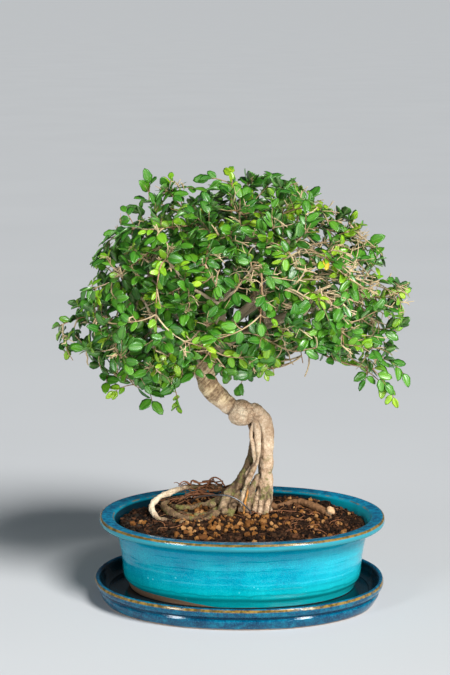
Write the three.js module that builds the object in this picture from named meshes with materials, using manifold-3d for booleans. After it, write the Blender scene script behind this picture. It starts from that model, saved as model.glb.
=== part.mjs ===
// Chinese elm bonsai: an old S-shaped trunk on bare roots, with a wide dome of small leaves, in an oval
// glazed pot that stands on its drip saucer. Millimetres, +Z up, +X along the pot's long side and -Y
// towards the viewer. The origin is on the surface that the saucer stands on, under the pot's centre, and
// the levels below are measured from 3 mm above it.
import * as THREE from "three";
import { mergeVertices } from "three/addons/utils/BufferGeometryUtils.js";
import Module from "manifold-3d";

const wasm = await Module();
wasm.setup();

// Driving sizes of the pottery
const RIM_HALF_LENGTH = 142; // outer edge of the pot's rim, along X
const OVAL_DIFFERENCE = 34; // half length less half width, the same at every level of the wall
const OVAL_CENTRE = 80; // inside this half length the ovals shrink towards a point
const OVAL_POWER = 2.12; // 2 is an ellipse, and more is squarer
const OVAL_SEGMENTS = 36;
const RIM_HEIGHT = 79.5;
const GROUND = -3; // level of the surface that the saucer stands on
const SAUCER_FLOOR = 7;
const POT_UNDERSIDE = 13;
const POT_FLOOR = 19;
const SAUCER_PLACE = [-3, -12];
const SAUCER_TURN = -0.04; // radians: the pot doesn't stand quite square on its saucer
const FOOT_NOTCH = [30, 3.6]; // width and height of the drain gap in the foot ring, front and back
const DRAIN_RADIUS = 9;
const DRAIN_SPACING = 96;
const SCREEN_SIDE = 34;
const SCREEN_THICKNESS = 1.4;
const SCREEN_HOLES = 3;
const CLEARANCE = 0.35; // gap left between pieces that touch
const SMALLEST_EDGE = 0.12; // slivers finer than this, left by the joins, are merged away

// Driving sizes of the soil
const SOIL_EDGE_HEIGHT = 70;
const SOIL_MOUND = 8.5;
const GRAINS = 22;
const GRAIN_RADIUS = [1.9, 3.6];

// Driving sizes of the crown
const CROWN_CENTRE = new THREE.Vector3(-10, 0, 262);
const CROWN_REACH = [ // from the centre to the outline seen from the front, every 15 degrees, over the top
  170, 178, 164, 164, 164, 158, 157, 158, 163, 155, 154, 160, 179,
  150, 130, 101, 59, 55, 54, 52, 50, 51, 67, 164,
];
const CROWN_DEPTH = 122; // and from the centre to its front and back
const CROWN_HALF = new THREE.Vector3(162, 118, 138);
const FRONT_LIFT = 0.19; // the front is cut higher than the back, by this share of the distance forward
const LEADERS = [ // directions of the shoots that lead the rest: top, far left, far right and the two lowest
  [0, -0.06, 1], [-1, -0.08, -0.01], [0.97, -0.1, 0.24], [0.955, -0.1, -0.28], [-0.76, -0.2, -0.62],
];
const SPRAYS = 38;
const SPRAY_LENGTH = 66; // of a spray's shoot
const GOLDEN_ANGLE = Math.PI * (3 - Math.sqrt(5));
const SPRAY_RISE = 0.3; // and how far the highest ones stand up instead
const SPRAY_HANG = 0.36; // how far a shoot bends over downhill at its tip, as a share of its length
const SPRAY_MARGIN = 8; // a shoot's tip stays this far inside the outline, which its last leaf reaches
const SPRAY_SPACE = 60; // no two tips are nearer to each other
const SPRAY_SPAN = 1.55; // 1 spreads sprays over the upper half only, and more adds a skirt below it
const SPRAY_TRIALS = 420; // directions tried from the top down
const FORK_SPACE = 42; // no shoot starts nearer to the fork
const SPRAY_SEED = 2026;
const TWIG_LENGTH = [30, 24];
const TWIG_RADIUS = [0.9, 0.7];
const TWIG_ANGLE = 0.85;
const TWIG_PLACES = [0.28, 0.56]; // shares of the way along a spray's shoot
const LEAF_PLACES = [0.1, 0.42, 0.7, 0.86];
const LEAF_LENGTH = [15, 19];
const LEAF_WIDTH_SHARE = 0.6;
const LEAF_THICKNESS = 1;
const LEAF_BOW = 0.12; // how far a leaf's tip sinks, as a share of its length
const LEAF_ANGLE = 0.9;
const LEAF_TILT = 1.2; // how freely a leaf turns away from the crown's surface
const TRIES = 5; // turns given to a leaf that meets another before it is left out

// The trunk, its strands and its roots: a centre line and a radius at each of its points
const FORK = [-33, 0, 238];
const TRUNK = [
  [21, 14, 68, 12], [21.5, 14, 82, 10.5], [22.5, 13, 96, 8.6], [23, 12, 112, 7.2], [24, 11, 128, 6.7],
  [24.6, 10, 146, 6.8], [23.8, 8, 163, 7], [19.5, 7, 175.5, 7.6], [11, 6, 180, 8.4], [-1, 5, 180.5, 9.6],
  [-11, 4, 187, 9.6], [-20.5, 3, 195.5, 9.8], [-30.5, 2, 206, 10.2], [-36.5, 1, 218.5, 10.2],
  [-36, 0, 230, 9], [-31, 0, 241, 7.4],
];
const STRANDS = {
  middle: [[12, 2, 176, 3.6], [15, 1, 160, 3.4], [14.7, 0, 140, 3.2], [9.6, -1, 123, 3.2], [4, -1, 107, 3.4],
    [0.6, 0, 94, 3.6], [-1, 2, 82, 4], [-1.5, 3, 72, 4.2]],
  left: [[7, 9, 174, 4.4], [9.6, 9, 155, 4.2], [7, 8, 138, 4.6], [1.5, 7, 122, 5.6], [-6.5, 6, 109, 6.8],
    [-14, 5, 99, 7], [-19, 0, 90, 5], [-23.5, -5, 81, 4.4], [-35, -14, 78, 4.2], [-49, -17, 77, 4.4],
    [-64, -8, 78, 4.3], [-75, 9, 80, 3.8], [-79, 22, 82, 3], [-75, 34, 82, 2.6]],
  loop: [[-14, 18, 94, 3.4], [-19, 36, 94, 2.6], [-27, 50, 93, 2.4], [-41, 53, 92, 2.6], [-56, 46, 93, 3.2],
    [-69, 30, 94, 3.6], [-82, 20, 91, 3.6], [-88.6, 12, 87, 3.6], [-89.5, 3, 82, 3.6], [-84, -9, 77.5, 3.6],
    [-74, -15, 75, 3.6], [-62, -12, 75, 3.4]],
  inner: [[-16, 12, 92, 5], [-25, 22, 86, 4.2], [-35, 23, 82, 3.8], [-48, 17, 80, 3.6], [-62, 17, 80, 3.4],
    [-72, 26, 79, 2.8]],
  front: [[-9, 12, 98, 3.6], [-7.5, 6, 88, 3], [-12, -3, 80, 2.8], [-19, -10, 72, 2.6]],
  green: [[10, 10, 106, 4.2], [10, 11, 94, 5.2], [8.5, 11, 82, 5], [6, 11, 72, 4.8]],
  right: [[25, 13, 100, 4.6], [29, 12, 88, 4.2], [31, 11, 78, 4], [33, 9, 70, 4]],
  back: [[20, 18, 100, 5], [22, 27, 86, 4.6], [26, 36, 76, 3.8], [30, 44, 70, 3]],
  far: [[28, 17, 84, 4], [37, 27, 76, 3.2], [49, 28, 77.5, 2.8], [59, 19, 79, 2.8], [69, 12, 79.5, 2.6],
    [78, 9, 77, 2.2], [86, 7, 70, 2]],
  stick: [[8, 1, 119, 1.4], [5.5, -3.5, 104, 1.2], [3, -5, 90, 1.2], [0.5, -5, 74, 1.2]],
};
const STRAND_MESH = (points) => [5, Math.round(points.length * 1.3)]; // sides and steps
const BURRS = [[-1, 3, 181.5, 13.8], [12.5, 3.5, 185, 8.8], [-35.5, 1, 233, 9.4], [76, 10, 81.5, 4]];
const LIMBS = {
  rightLow: [[...FORK, 5.1], [2, -8, 264, 4.1], [38, -20, 282, 3.1], [78, -24, 290, 2.3],
    [108, -18, 284, 1.9]],
  rightHigh: [[...FORK, 5.5], [-10, 5, 270, 4.4], [20, 10, 303, 3.4], [46, 13, 330, 2.5], [64, 12, 348, 1.9]],
  top: [[-20, 3, 260, 3.9], [-18, -3, 292, 3.1], [-8, 2, 324, 2.3], [-2, 0, 346, 1.9]],
  leftLow: [[-36, 0, 231, 4.4], [-62, -10, 243, 3.6], [-92, -15, 253, 2.7], [-120, -12, 255, 1.9]],
  leftHigh: [[...FORK, 4.4], [-52, 6, 268, 3.4], [-74, 9, 296, 2.5], [-90, 6, 316, 1.9]],
  front: [[...FORK, 3.9], [-34, -28, 256, 3.1], [-28, -52, 276, 2.3], [-22, -68, 292, 1.9]],
  frontRight: [[2, -8, 264, 3.4], [22, -34, 274, 2.7], [44, -54, 286, 2], [58, -64, 292, 1.9]],
  frontLeft: [[-62, -10, 243, 3], [-78, -34, 260, 2.3], [-86, -52, 272, 1.9]],
  back: [[...FORK, 3.9], [-30, 30, 258, 3.1], [-22, 54, 280, 2.3], [-14, 68, 294, 1.9]],
  backRight: [[-10, 5, 270, 3.4], [18, 34, 286, 2.7], [46, 54, 292, 2], [62, 60, 290, 1.9]],
  backLeft: [[-52, 6, 268, 3], [-70, 32, 278, 2.3], [-84, 48, 284, 1.9]],
};
const LIMB_SAMPLES = 6; // places along each limb where a side branch may leave it
const SIDE_BRANCH_RADIUS = [2.2, 1.5];
const BRANCH_SPACE = 7; // side branches and shoots keep this far apart, centre to centre
const SPRAY_RADIUS = [1.5, 0.7];
const WIRE_RADIUS = 0.8;
const WIRE = [[-56, 35, 68], [-50.5, 30, 83], [-43.5, 15, 92], [-33, 2, 97], [-25.5, -5, 99.5],
  [-18, -9, 100.5], [-10, -10.5, 99], [-2.5, -11, 95], [2.6, -10, 90], [8.5, -7, 82], [10, -6, 72]];

// A repeatable row of numbers between 0 and 1 (Lehmer's rule), so that the tree is the same each time
function numbers(seed) {
  let state = seed;
  return () => {
    state = (state * 16807) % 2147483647;
    return state / 2147483647;
  };
}

// Manifold solids from three.js geometry, and back
function solid(geometry) {
  const bare = new THREE.BufferGeometry();
  bare.setAttribute("position", geometry.attributes.position);
  bare.setIndex(geometry.index);
  const merged = mergeVertices(bare, 1e-3);
  return new wasm.Manifold(new wasm.Mesh({
    numProp: 3,
    vertProperties: new Float32Array(merged.attributes.position.array),
    triVerts: new Uint32Array(merged.index.array),
  }));
}

function geometryOf(body) {
  const mesh = body.getMesh();
  const geometry = new THREE.BufferGeometry();
  geometry.setAttribute("position", new THREE.BufferAttribute(mesh.vertProperties, 3));
  geometry.setIndex(new THREE.BufferAttribute(mesh.triVerts, 1));
  return geometry;
}

// The largest body of a solid: what a cut leaves loose is dropped
function whole(body) {
  return body.decompose().reduce((best, piece) => (piece.volume() > best.volume() ? piece : best));
}

// The same body without the slivers that joining leaves along each seam
function smoothed(body) {
  const lighter = solid(geometryOf(body.simplify(SMALLEST_EDGE))).simplify(SMALLEST_EDGE);
  return whole(solid(geometryOf(whole(lighter))));
}

function joined(bodies) {
  return bodies.reduce((sum, body) => sum.add(body));
}

// Whether two bodies are nearer to each other than the clearance
function crowds(a, b) {
  const [boxA, boxB] = [a.boundingBox(), b.boundingBox()];
  const apart = [0, 1, 2].some((i) => (
    boxA.min[i] > boxB.max[i] + CLEARANCE || boxB.min[i] > boxA.max[i] + CLEARANCE
  ));
  return !apart && a.minGap(b, CLEARANCE) < CLEARANCE;
}

// An oval body: a turned profile of [half length, height] whose rings are pressed to the pot's oval plan
function ovalTurn(profile, segments = OVAL_SEGMENTS) {
  const lathe = new THREE.LatheGeometry(profile.map(([r, z]) => new THREE.Vector2(r, z)), segments);
  const position = lathe.attributes.position;
  for (let i = 0; i < position.count; i++) {
    const [x, z, y] = [position.getX(i), position.getY(i), position.getZ(i)];
    const halfLength = Math.hypot(x, y);
    const halfWidth = halfLength - OVAL_DIFFERENCE * Math.min(1, halfLength / OVAL_CENTRE);
    const press = (v) => Math.sign(v) * Math.abs(v) ** (2 / OVAL_POWER);
    const turn = Math.atan2(y, x);
    const [along, across] = [press(Math.cos(turn)), press(Math.sin(turn))];
    position.setXYZ(i, halfLength * along, -halfWidth * across, z);
  }
  return solid(lathe);
}

function block(x, y, z, place) {
  return solid(new THREE.BoxGeometry(x, y, z).translate(...place));
}

// A round stem of changing radius: a cylinder bent along a curve. Each point is [x, y, z, radius].
function stem(points, sides, steps) {
  const curve = new THREE.CatmullRomCurve3(points.map((p) => new THREE.Vector3(...p)), false, "catmullrom");
  return bent(curve, points.map((p) => p[3]), sides, steps);
}

function bent(curve, radii, sides, steps) {
  const cylinder = new THREE.CylinderGeometry(1, 1, 1, sides, steps);
  const position = cylinder.attributes.position;
  const start = new THREE.Vector3(0, 0, 1).cross(curve.getTangent(0));
  const normals = [start.normalize()];
  for (let i = 1; i <= steps; i++) {
    const tangent = curve.getTangent(i / steps);
    normals.push(normals[i - 1].clone().addScaledVector(tangent, -normals[i - 1].dot(tangent)).normalize());
  }
  for (let i = 0; i < position.count; i++) {
    const along = 0.5 - position.getY(i);
    const step = Math.round(along * steps);
    const tangent = curve.getTangent(along);
    const normal = normals[step];
    const side = tangent.clone().cross(normal);
    const place = Math.min(along * (radii.length - 1), radii.length - 1.000001);
    const radius = THREE.MathUtils.lerp(radii[Math.floor(place)], radii[Math.floor(place) + 1], place % 1);
    const point = curve.getPoint(along);
    point.addScaledVector(normal, position.getX(i) * radius).addScaledVector(side, position.getZ(i) * radius);
    position.setXYZ(i, point.x, point.y, point.z);
  }
  return solid(cylinder);
}

function ball(x, y, z, radius, detail = 2, flat = 1) {
  return solid(new THREE.IcosahedronGeometry(radius, detail).scale(1, 1, flat).translate(x, y, z));
}

// The saucer: a low oval dish with a rolled lip, a waist under it and a flat unglazed base
function makeSaucer() {
  const profile = [
    [0, GROUND], [131.5, GROUND], [135.5, GROUND + 1.5], [139.6, 6], [138.6, 9.8], [142, 12.4], [143.5, 16.2],
    [142.8, 19.2], [140.8, 20.4], [138.2, 18.4], [135, 11.6], [128.5, SAUCER_FLOOR], [0, SAUCER_FLOOR],
  ];
  const turned = geometryOf(ovalTurn(profile));
  return solid(turned.rotateZ(SAUCER_TURN).translate(...SAUCER_PLACE, 0));
}

// The pot: a flared oval wall with a wide flat rim, a foot ring notched front and back, and two drain holes
function makePot() {
  const profile = [
    [0, POT_UNDERSIDE], [104, POT_UNDERSIDE], [105, SAUCER_FLOOR], [112.6, SAUCER_FLOOR], [114, 13.4],
    [118, 17.5], [121, 40], [126, 65], [132, 69.4], [139.6, 71.2], [RIM_HALF_LENGTH, 75.5],
    [140.6, 78.9], [137.5, RIM_HEIGHT], [128.4, 78], [123.6, 71.5], [118, 52], [112.4, 25],
    [106, POT_FLOOR], [0, POT_FLOOR],
  ];
  const [notchWidth, notchHeight] = FOOT_NOTCH;
  const notch = block(notchWidth, 4 * RIM_HALF_LENGTH, 2 * notchHeight, [0, 0, SAUCER_FLOOR]);
  const holes = [-1, 1].map((side) => solid(
    new THREE.CylinderGeometry(DRAIN_RADIUS, DRAIN_RADIUS, 40, 16)
      .rotateX(Math.PI / 2).translate((side * DRAIN_SPACING) / 2, 0, POT_FLOOR),
  ));
  return ovalTurn(profile).subtract(joined([notch, ...holes]));
}

// A square of plastic mesh that lies over a drain hole and keeps the soil in
function makeScreen(side) {
  const middle = [(side * DRAIN_SPACING) / 2, 0, POT_FLOOR + SCREEN_THICKNESS / 2];
  const pitch = SCREEN_SIDE / (SCREEN_HOLES + 0.5);
  const places = Array.from({ length: SCREEN_HOLES }, (_, i) => (i - (SCREEN_HOLES - 1) / 2) * pitch);
  const holes = places.flatMap((x) => places.map((y) => (
    block(pitch * 0.6, pitch * 0.6, 9, [middle[0] + x, y, middle[2]])
  )));
  return block(SCREEN_SIDE, SCREEN_SIDE, SCREEN_THICKNESS, middle).subtract(joined(holes));
}

// Height of the soil's surface: a low mound round the roots, with a few soft waves
function soilHeight(x, y) {
  const reach = Math.hypot((x + 8) / 118, (y - 4) / 86);
  const waves = Math.sin(x / 11 + 1) * Math.cos(y / 9) + 0.7 * Math.sin(x / 5.3 - y / 6.1);
  return SOIL_EDGE_HEIGHT + SOIL_MOUND * Math.max(0, 1 - reach ** 2.4) + 0.6 * waves;
}

// The soil: it fills the pot up to a crumbly surface, with coarse grains fused half into it
function makeSoil(cuts) {
  const random = numbers(77);
  const inset = CLEARANCE + 0.25;
  const profile = [
    [0, POT_FLOOR + inset], [105, POT_FLOOR + inset], [111.4 - inset, 25], [117 - inset, 52],
    [122.6 - inset, SOIL_EDGE_HEIGHT], [108, 100], [88, 100], [66, 100], [44, 100], [20, 100], [0, 100],
  ];
  const bulk = geometryOf(ovalTurn(profile));
  const position = bulk.attributes.position;
  for (let i = 0; i < position.count; i++) {
    if (position.getZ(i) > 99) {
      const crumble = (random() - 0.5) * 2.4;
      position.setZ(i, soilHeight(position.getX(i), position.getY(i)) + crumble);
    }
  }
  const grains = Array.from({ length: GRAINS }, (_, i) => {
    const turn = i * GOLDEN_ANGLE;
    const reach = 100 * Math.sqrt((i + 0.5) / GRAINS);
    const [x, y] = [4 + reach * Math.cos(turn), -8 + reach * 0.66 * Math.sin(turn)];
    const radius = THREE.MathUtils.lerp(...GRAIN_RADIUS, random());
    const grain = new THREE.OctahedronGeometry(radius, 0).rotateX(random() * 3).rotateZ(random() * 3);
    return solid(grain.translate(x, y, soilHeight(x, y) + radius * 0.2));
  });
  return whole(joined([solid(bulk), ...grains]).subtract(joined(cuts)));
}

// The same stem a little fatter and longer, for the hole that it stands in
function fatter(points) {
  const spare = 2 * CLEARANCE;
  const pushed = (from, to) => {
    const [a, b] = [new THREE.Vector3(...from), new THREE.Vector3(...to)];
    return b.addScaledVector(b.clone().sub(a).normalize(), spare).toArray();
  };
  const places = points.map((point) => point.slice(0, 3));
  places[0] = pushed(places[1], places[0]);
  places[places.length - 1] = pushed(places.at(-2), places.at(-1));
  return places.map((place, i) => [...place, points[i][3] + spare]);
}

const limbCurve = (points) => (
  new THREE.CatmullRomCurve3(points.map((p) => new THREE.Vector3(...p)), false, "catmullrom")
);

// The crown's surface in a direction from its centre: the outline's reach at that angle seen from the front,
// rounded off towards the front and back like an ellipsoid
function crownSurface(out, size) {
  const step = ((Math.atan2(out.z, out.x) / (2 * Math.PI) + 1) % 1) * CROWN_REACH.length;
  const before = Math.floor(step);
  const reach = THREE.MathUtils.lerp(
    CROWN_REACH[before], CROWN_REACH[(before + 1) % CROWN_REACH.length], step - before,
  );
  const length = size / Math.hypot(Math.hypot(out.x, out.z) / reach, out.y / CROWN_DEPTH);
  const place = out.clone().multiplyScalar(length).add(CROWN_CENTRE);
  place.z += FRONT_LIFT * Math.max(0, -place.y);
  return place;
}

// Where the sprays sit: their tips are spread over the crown's surface by the golden angle, with a set space
// round each, and each hangs on a side branch from the nearest wood that is closer to the fork. A branch that
// would cut across another one is bowed another way.
function sprayPlaces() {
  const random = numbers(SPRAY_SEED);
  const fork = new THREE.Vector3(...FORK);
  const along = (curve, count) => Array.from({ length: count }, (_, i) => curve.getPoint((i + 1) / count));
  const curves = Object.values(LIMBS).map(limbCurve);
  const nodes = curves.flatMap((curve) => along(curve, LIMB_SAMPLES));
  const taken = curves.flatMap((curve) => along(curve, 3 * LIMB_SAMPLES));
  const sprays = [];
  for (let i = 0; i < SPRAY_TRIALS && sprays.length < SPRAYS; i++) {
    const height = 1 - (i / SPRAY_TRIALS) * SPRAY_SPAN;
    const flat = Math.sqrt(1 - height ** 2);
    const turn = i * GOLDEN_ANGLE;
    const even = new THREE.Vector3(flat * Math.cos(turn), flat * Math.sin(turn), height);
    const leads = i < LEADERS.length;
    const out = leads ? new THREE.Vector3(...LEADERS[i]).normalize() : even;
    const size = leads ? 1 : 0.95 + 0.08 * random();
    const outward = out.clone().setZ(Math.max(0, out.z)).divide(CROWN_HALF).normalize();
    const tip = crownSurface(out, size).addScaledVector(outward, -SPRAY_MARGIN);
    if (out.z < 0) tip.z += SPRAY_MARGIN;
    if (sprays.some((spray) => spray.tip.distanceTo(tip) < SPRAY_SPACE)) continue;
    const downhill = new THREE.Vector3(out.x / 2, out.y / 2, -1);
    downhill.addScaledVector(outward, -outward.dot(downhill)).normalize();
    const rise = SPRAY_RISE * Math.max(0, out.z);
    const base = tip.clone().addScaledVector(downhill, -SPRAY_LENGTH * (0.4 + SPRAY_HANG - rise))
      .addScaledVector(outward, -SPRAY_LENGTH * (0.4 + rise + 0.2 * random()));
    if (leads) base.copy(tip).addScaledVector(out, -SPRAY_LENGTH * 0.9);
    if (base.distanceTo(fork) > FORK_SPACE) sprays.push({ tip, base, outward });
  }
  sprays.sort((a, b) => a.base.distanceTo(fork) - b.base.distanceTo(fork));
  for (const spray of sprays) {
    for (let turn = 0; turn < 4 * TRIES; turn++) {
      const base = spray.base.clone().add(new THREE.Vector3(random() - 0.5, random() - 0.5, random() - 0.5)
        .multiplyScalar(2 * turn));
      const reach = base.distanceTo(fork);
      const from = nodes.filter((node) => node.distanceTo(fork) < reach - 8)
        .reduce((best, node) => (node.distanceTo(base) < best.distanceTo(base) ? node : best));
      const length = from.distanceTo(base);
      const bow = new THREE.Vector3(random() - 0.5, random() - 0.5, random() - 0.2);
      const middle = from.clone().lerp(base, 0.5).addScaledVector(bow, length * 0.35);
      spray.branch = new THREE.QuadraticBezierCurve3(from, middle, base);
      const heading = spray.branch.getTangent(1);
      const start = base.clone().addScaledVector(heading, 2 * CLEARANCE);
      const bend = start.clone().addScaledVector(heading, SPRAY_LENGTH * 0.4);
      spray.axis = new THREE.QuadraticBezierCurve3(start, bend, spray.tip);
      const path = [...along(spray.branch, 8), ...along(spray.axis, 8)];
      const free = path.filter((point) => point.distanceTo(from) > BRANCH_SPACE * 1.5);
      if (!free.some((point) => taken.some((other) => other.distanceTo(point) < BRANCH_SPACE))) break;
    }
    nodes.push(spray.branch.getPoint(0.4), spray.branch.getPoint(0.65));
    taken.push(...along(spray.branch, 10), ...along(spray.axis, 6));
  }
  return sprays;
}

// All the grown wood in one piece: trunk, strands, roots, limbs, and a side branch to each spray
function makeWood(sprays) {
  const strands = Object.values(STRANDS).map((points) => stem(points, ...STRAND_MESH(points)));
  const limbs = Object.values(LIMBS).map((points) => stem(points, 5, points.length));
  const branches = sprays.map(({ branch }) => bent(branch, SIDE_BRANCH_RADIUS, 3, 2));
  const burrs = BURRS.map(([x, y, z, radius]) => ball(x, y, z, radius, 1));
  return joined([stem(TRUNK, 9, 21), ...strands, ...burrs, ...limbs, ...branches]);
}

// A closed faceted body from its corners and triangles
function faceted(points, faces) {
  const geometry = new THREE.BufferGeometry().setFromPoints(points);
  geometry.setIndex(faces.flat());
  return solid(geometry);
}

// The corners of a pointed oval leaf, level on top and keeled below, which bows down towards its tip
function leafCorners(base, heading, face, length) {
  const half = (length * LEAF_WIDTH_SHARE) / 2;
  const up = face.clone().addScaledVector(heading, -face.dot(heading)).normalize();
  const side = heading.clone().cross(up);
  const at = (along, across, sink) => (
    base.clone().addScaledVector(heading, along).addScaledVector(side, across).addScaledVector(up, -sink)
  );
  const bow = length * LEAF_BOW;
  return [
    at(length * 0.3, half * 0.94, 0), at(length * 0.68, half * 0.86, bow / 3), at(length, 0, bow),
    at(length * 0.68, -half * 0.86, bow / 3), at(length * 0.3, -half * 0.94, 0),
    at(length * 0.5, 0, LEAF_THICKNESS + bow / 6),
  ];
}

// A single leaf, from a point inside its twig
function leaf(base, heading, face, length) {
  const [stalk, a, b, tip, c, d, keel] = [0, 1, 2, 3, 4, 5, 6];
  return faceted([base, ...leafCorners(base, heading, face, length)], [
    [stalk, a, b], [stalk, b, tip], [stalk, tip, c], [stalk, c, d],
    [a, stalk, keel], [b, a, keel], [tip, b, keel], [c, tip, keel], [d, c, keel], [stalk, d, keel],
  ]);
}

// A three-sided shoot along a curve, which widens at its end into a leaf
function shoot(curve, radii, steps, face, length) {
  const points = [];
  for (let i = 0; i <= steps; i++) {
    const [centre, heading] = [curve.getPoint(i / steps), curve.getTangent(i / steps)];
    const radius = THREE.MathUtils.lerp(...radii, i / steps);
    const up = face.clone().addScaledVector(heading, -face.dot(heading)).normalize();
    const side = heading.clone().cross(up);
    for (const turn of [Math.PI / 6, (5 * Math.PI) / 6, (3 * Math.PI) / 2]) {
      points.push(centre.clone().addScaledVector(side, radius * Math.cos(turn))
        .addScaledVector(up, radius * Math.sin(turn)));
    }
  }
  const faces = [[0, 1, 2]];
  for (let i = 0; i < steps; i++) {
    for (let k = 0; k < 3; k++) {
      const [from, next] = [3 * i + k, 3 * i + ((k + 1) % 3)];
      faces.push([from, from + 3, next], [next, from + 3, next + 3]);
    }
  }
  const [right, left, under] = [3 * steps, 3 * steps + 1, 3 * steps + 2];
  const [a, b, tip, c, d, keel] = [3, 4, 5, 6, 7, 8].map((step) => 3 * steps + step);
  points.push(...leafCorners(curve.getPoint(1), curve.getTangent(1), face, length));
  faces.push(
    [right, a, left], [left, a, d], [a, b, d], [d, b, c], [b, tip, c],
    [right, under, a], [under, keel, a], [a, keel, b], [b, keel, tip], [tip, keel, c], [c, keel, d],
    [d, keel, under], [d, under, left],
  );
  return faceted(points, faces);
}

// One leafy spray: an arched shoot with leaves at alternate sides, and two side twigs. A twig or leaf that
// would meet another node, or another leaf, is turned a few times and then left out.
function makeSpray(spray, number, neighbours) {
  const random = numbers(SPRAY_SEED + 61 * (number + 1));
  const wander = () => new THREE.Vector3(random() - 0.5, random() - 0.5, random() - 0.5);
  const face = spray.outward.clone().add(new THREE.Vector3(0, 0, 0.35)).addScaledVector(wander(), 0.4)
    .normalize();
  const faceOf = () => face.clone().addScaledVector(wander(), LEAF_TILT).normalize();
  const sizeOf = () => THREE.MathUtils.lerp(...LEAF_LENGTH, random());
  const turned = (heading, angle, loose) => (
    heading.clone().applyAxisAngle(face, angle).addScaledVector(wander(), loose).normalize()
  );
  const clear = (piece, others) => !others.some((other) => crowds(piece, other));
  const endLength = sizeOf();
  let { axis } = spray;
  let body = shoot(axis, SPRAY_RADIUS, 3, face, endLength);
  for (let turn = 1; turn < 4 * TRIES && !clear(body, neighbours); turn++) {
    const tip = spray.tip.clone().addScaledVector(wander(), 4 * turn);
    const bend = spray.axis.v1.clone().addScaledVector(wander(), turn);
    axis = new THREE.QuadraticBezierCurve3(spray.axis.v0, bend, tip);
    body = shoot(axis, SPRAY_RADIUS, 3, face, endLength);
  }
  const blades = [leaf(axis.getPoint(1), axis.getTangent(1), face, endLength)];
  const grow = (make) => {
    for (let turn = 0; turn < TRIES; turn++) {
      const { piece, blade } = make();
      if (clear(piece, [...neighbours, ...blades])) {
        body = body.add(piece);
        blades.push(blade);
        return;
      }
    }
  };
  const growLeaf = (base, heading, angle) => grow(() => {
    const piece = leaf(base, turned(heading, angle, 0.4), faceOf(), sizeOf());
    return { piece, blade: piece };
  });
  TWIG_PLACES.forEach((place, i) => {
    const hand = i % 2 ? 1 : -1;
    const start = axis.getPoint(place);
    grow(() => {
      const along = turned(axis.getTangent(place), hand * TWIG_ANGLE, 0.4);
      const end = start.clone().addScaledVector(along, TWIG_LENGTH[i]);
      const [up, length] = [faceOf(), sizeOf()];
      return {
        piece: shoot(new THREE.LineCurve3(start, end), TWIG_RADIUS, 1, up, length)
          .add(leaf(start.clone().lerp(end, 0.5), turned(along, hand * 0.8, 0.2), up, sizeOf())),
        blade: leaf(end, along, up, length),
      };
    });
  });
  LEAF_PLACES.forEach((place, i) => {
    growLeaf(axis.getPoint(place), axis.getTangent(place), (i % 2 ? -1 : 1) * LEAF_ANGLE);
  });
  return body;
}

// The finishes
const finish = (colour, roughness, metalness = 0) => new THREE.MeshStandardMaterial({
  color: new THREE.Color(...colour), roughness, metalness,
});
const glaze = finish([0.02, 0.36, 0.48], 0.18);
const darkGlaze = finish([0.02, 0.2, 0.36], 0.2);
const bark = finish([0.47, 0.36, 0.24], 0.85);
const leafGreen = finish([0.07, 0.26, 0.05], 0.45);
const earth = finish([0.1, 0.055, 0.03], 0.95);
const plastic = finish([0.03, 0.03, 0.03], 0.6);
const metal = finish([0.12, 0.12, 0.12], 0.4, 0.9);

const bonsai = new THREE.Group();
function add(name, body, material) {
  const shape = smoothed(body);
  const mesh = new THREE.Mesh(geometryOf(shape), material);
  mesh.name = name;
  bonsai.add(mesh);
  return shape;
}

const sprays = sprayPlaces();
add("saucer", makeSaucer(), darkGlaze);
add("pot", makePot(), glaze);
const wood = add("trunk_roots_and_limbs", makeWood(sprays), bark);
const wirePoints = WIRE.map((point) => [...point, WIRE_RADIUS]);
const wire = add("tie_wire", stem(wirePoints, 4, 20), metal);
add("drain_screen_left", makeScreen(-1), plastic);
add("drain_screen_right", makeScreen(1), plastic);
const screenPockets = [-1, 1].map((side) => block(
  SCREEN_SIDE + 2 * CLEARANCE, SCREEN_SIDE + 2 * CLEARANCE, 2 * (SCREEN_THICKNESS + CLEARANCE),
  [(side * DRAIN_SPACING) / 2, 0, POT_FLOOR],
));
add("soil", makeSoil([
  stem(fatter(TRUNK), 9, 21), stem(fatter(wirePoints), 4, 20), ...screenPockets,
  ...BURRS.map(([x, y, z, radius]) => ball(x, y, z, radius + 2 * CLEARANCE, 1)),
  ...Object.values(STRANDS).map((points) => stem(fatter(points), ...STRAND_MESH(points))),
]), earth);

const grown = [wood, wire];
sprays.forEach((spray, i) => {
  const name = `spray_${String(i + 1).padStart(2, "0")}`;
  grown.push(add(name, makeSpray(spray, i, grown), leafGreen));
});

bonsai.position.z = -GROUND;

export default bonsai;
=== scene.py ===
"""Chinese elm bonsai in its glazed pot and drip saucer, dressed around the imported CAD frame.

Sizes in the tables below are millimetres, as in the part's source, with levels measured from 3 mm above the
surface that the saucer stands on. They become metres when a mesh is made.
"""

import math
from itertools import product

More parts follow.
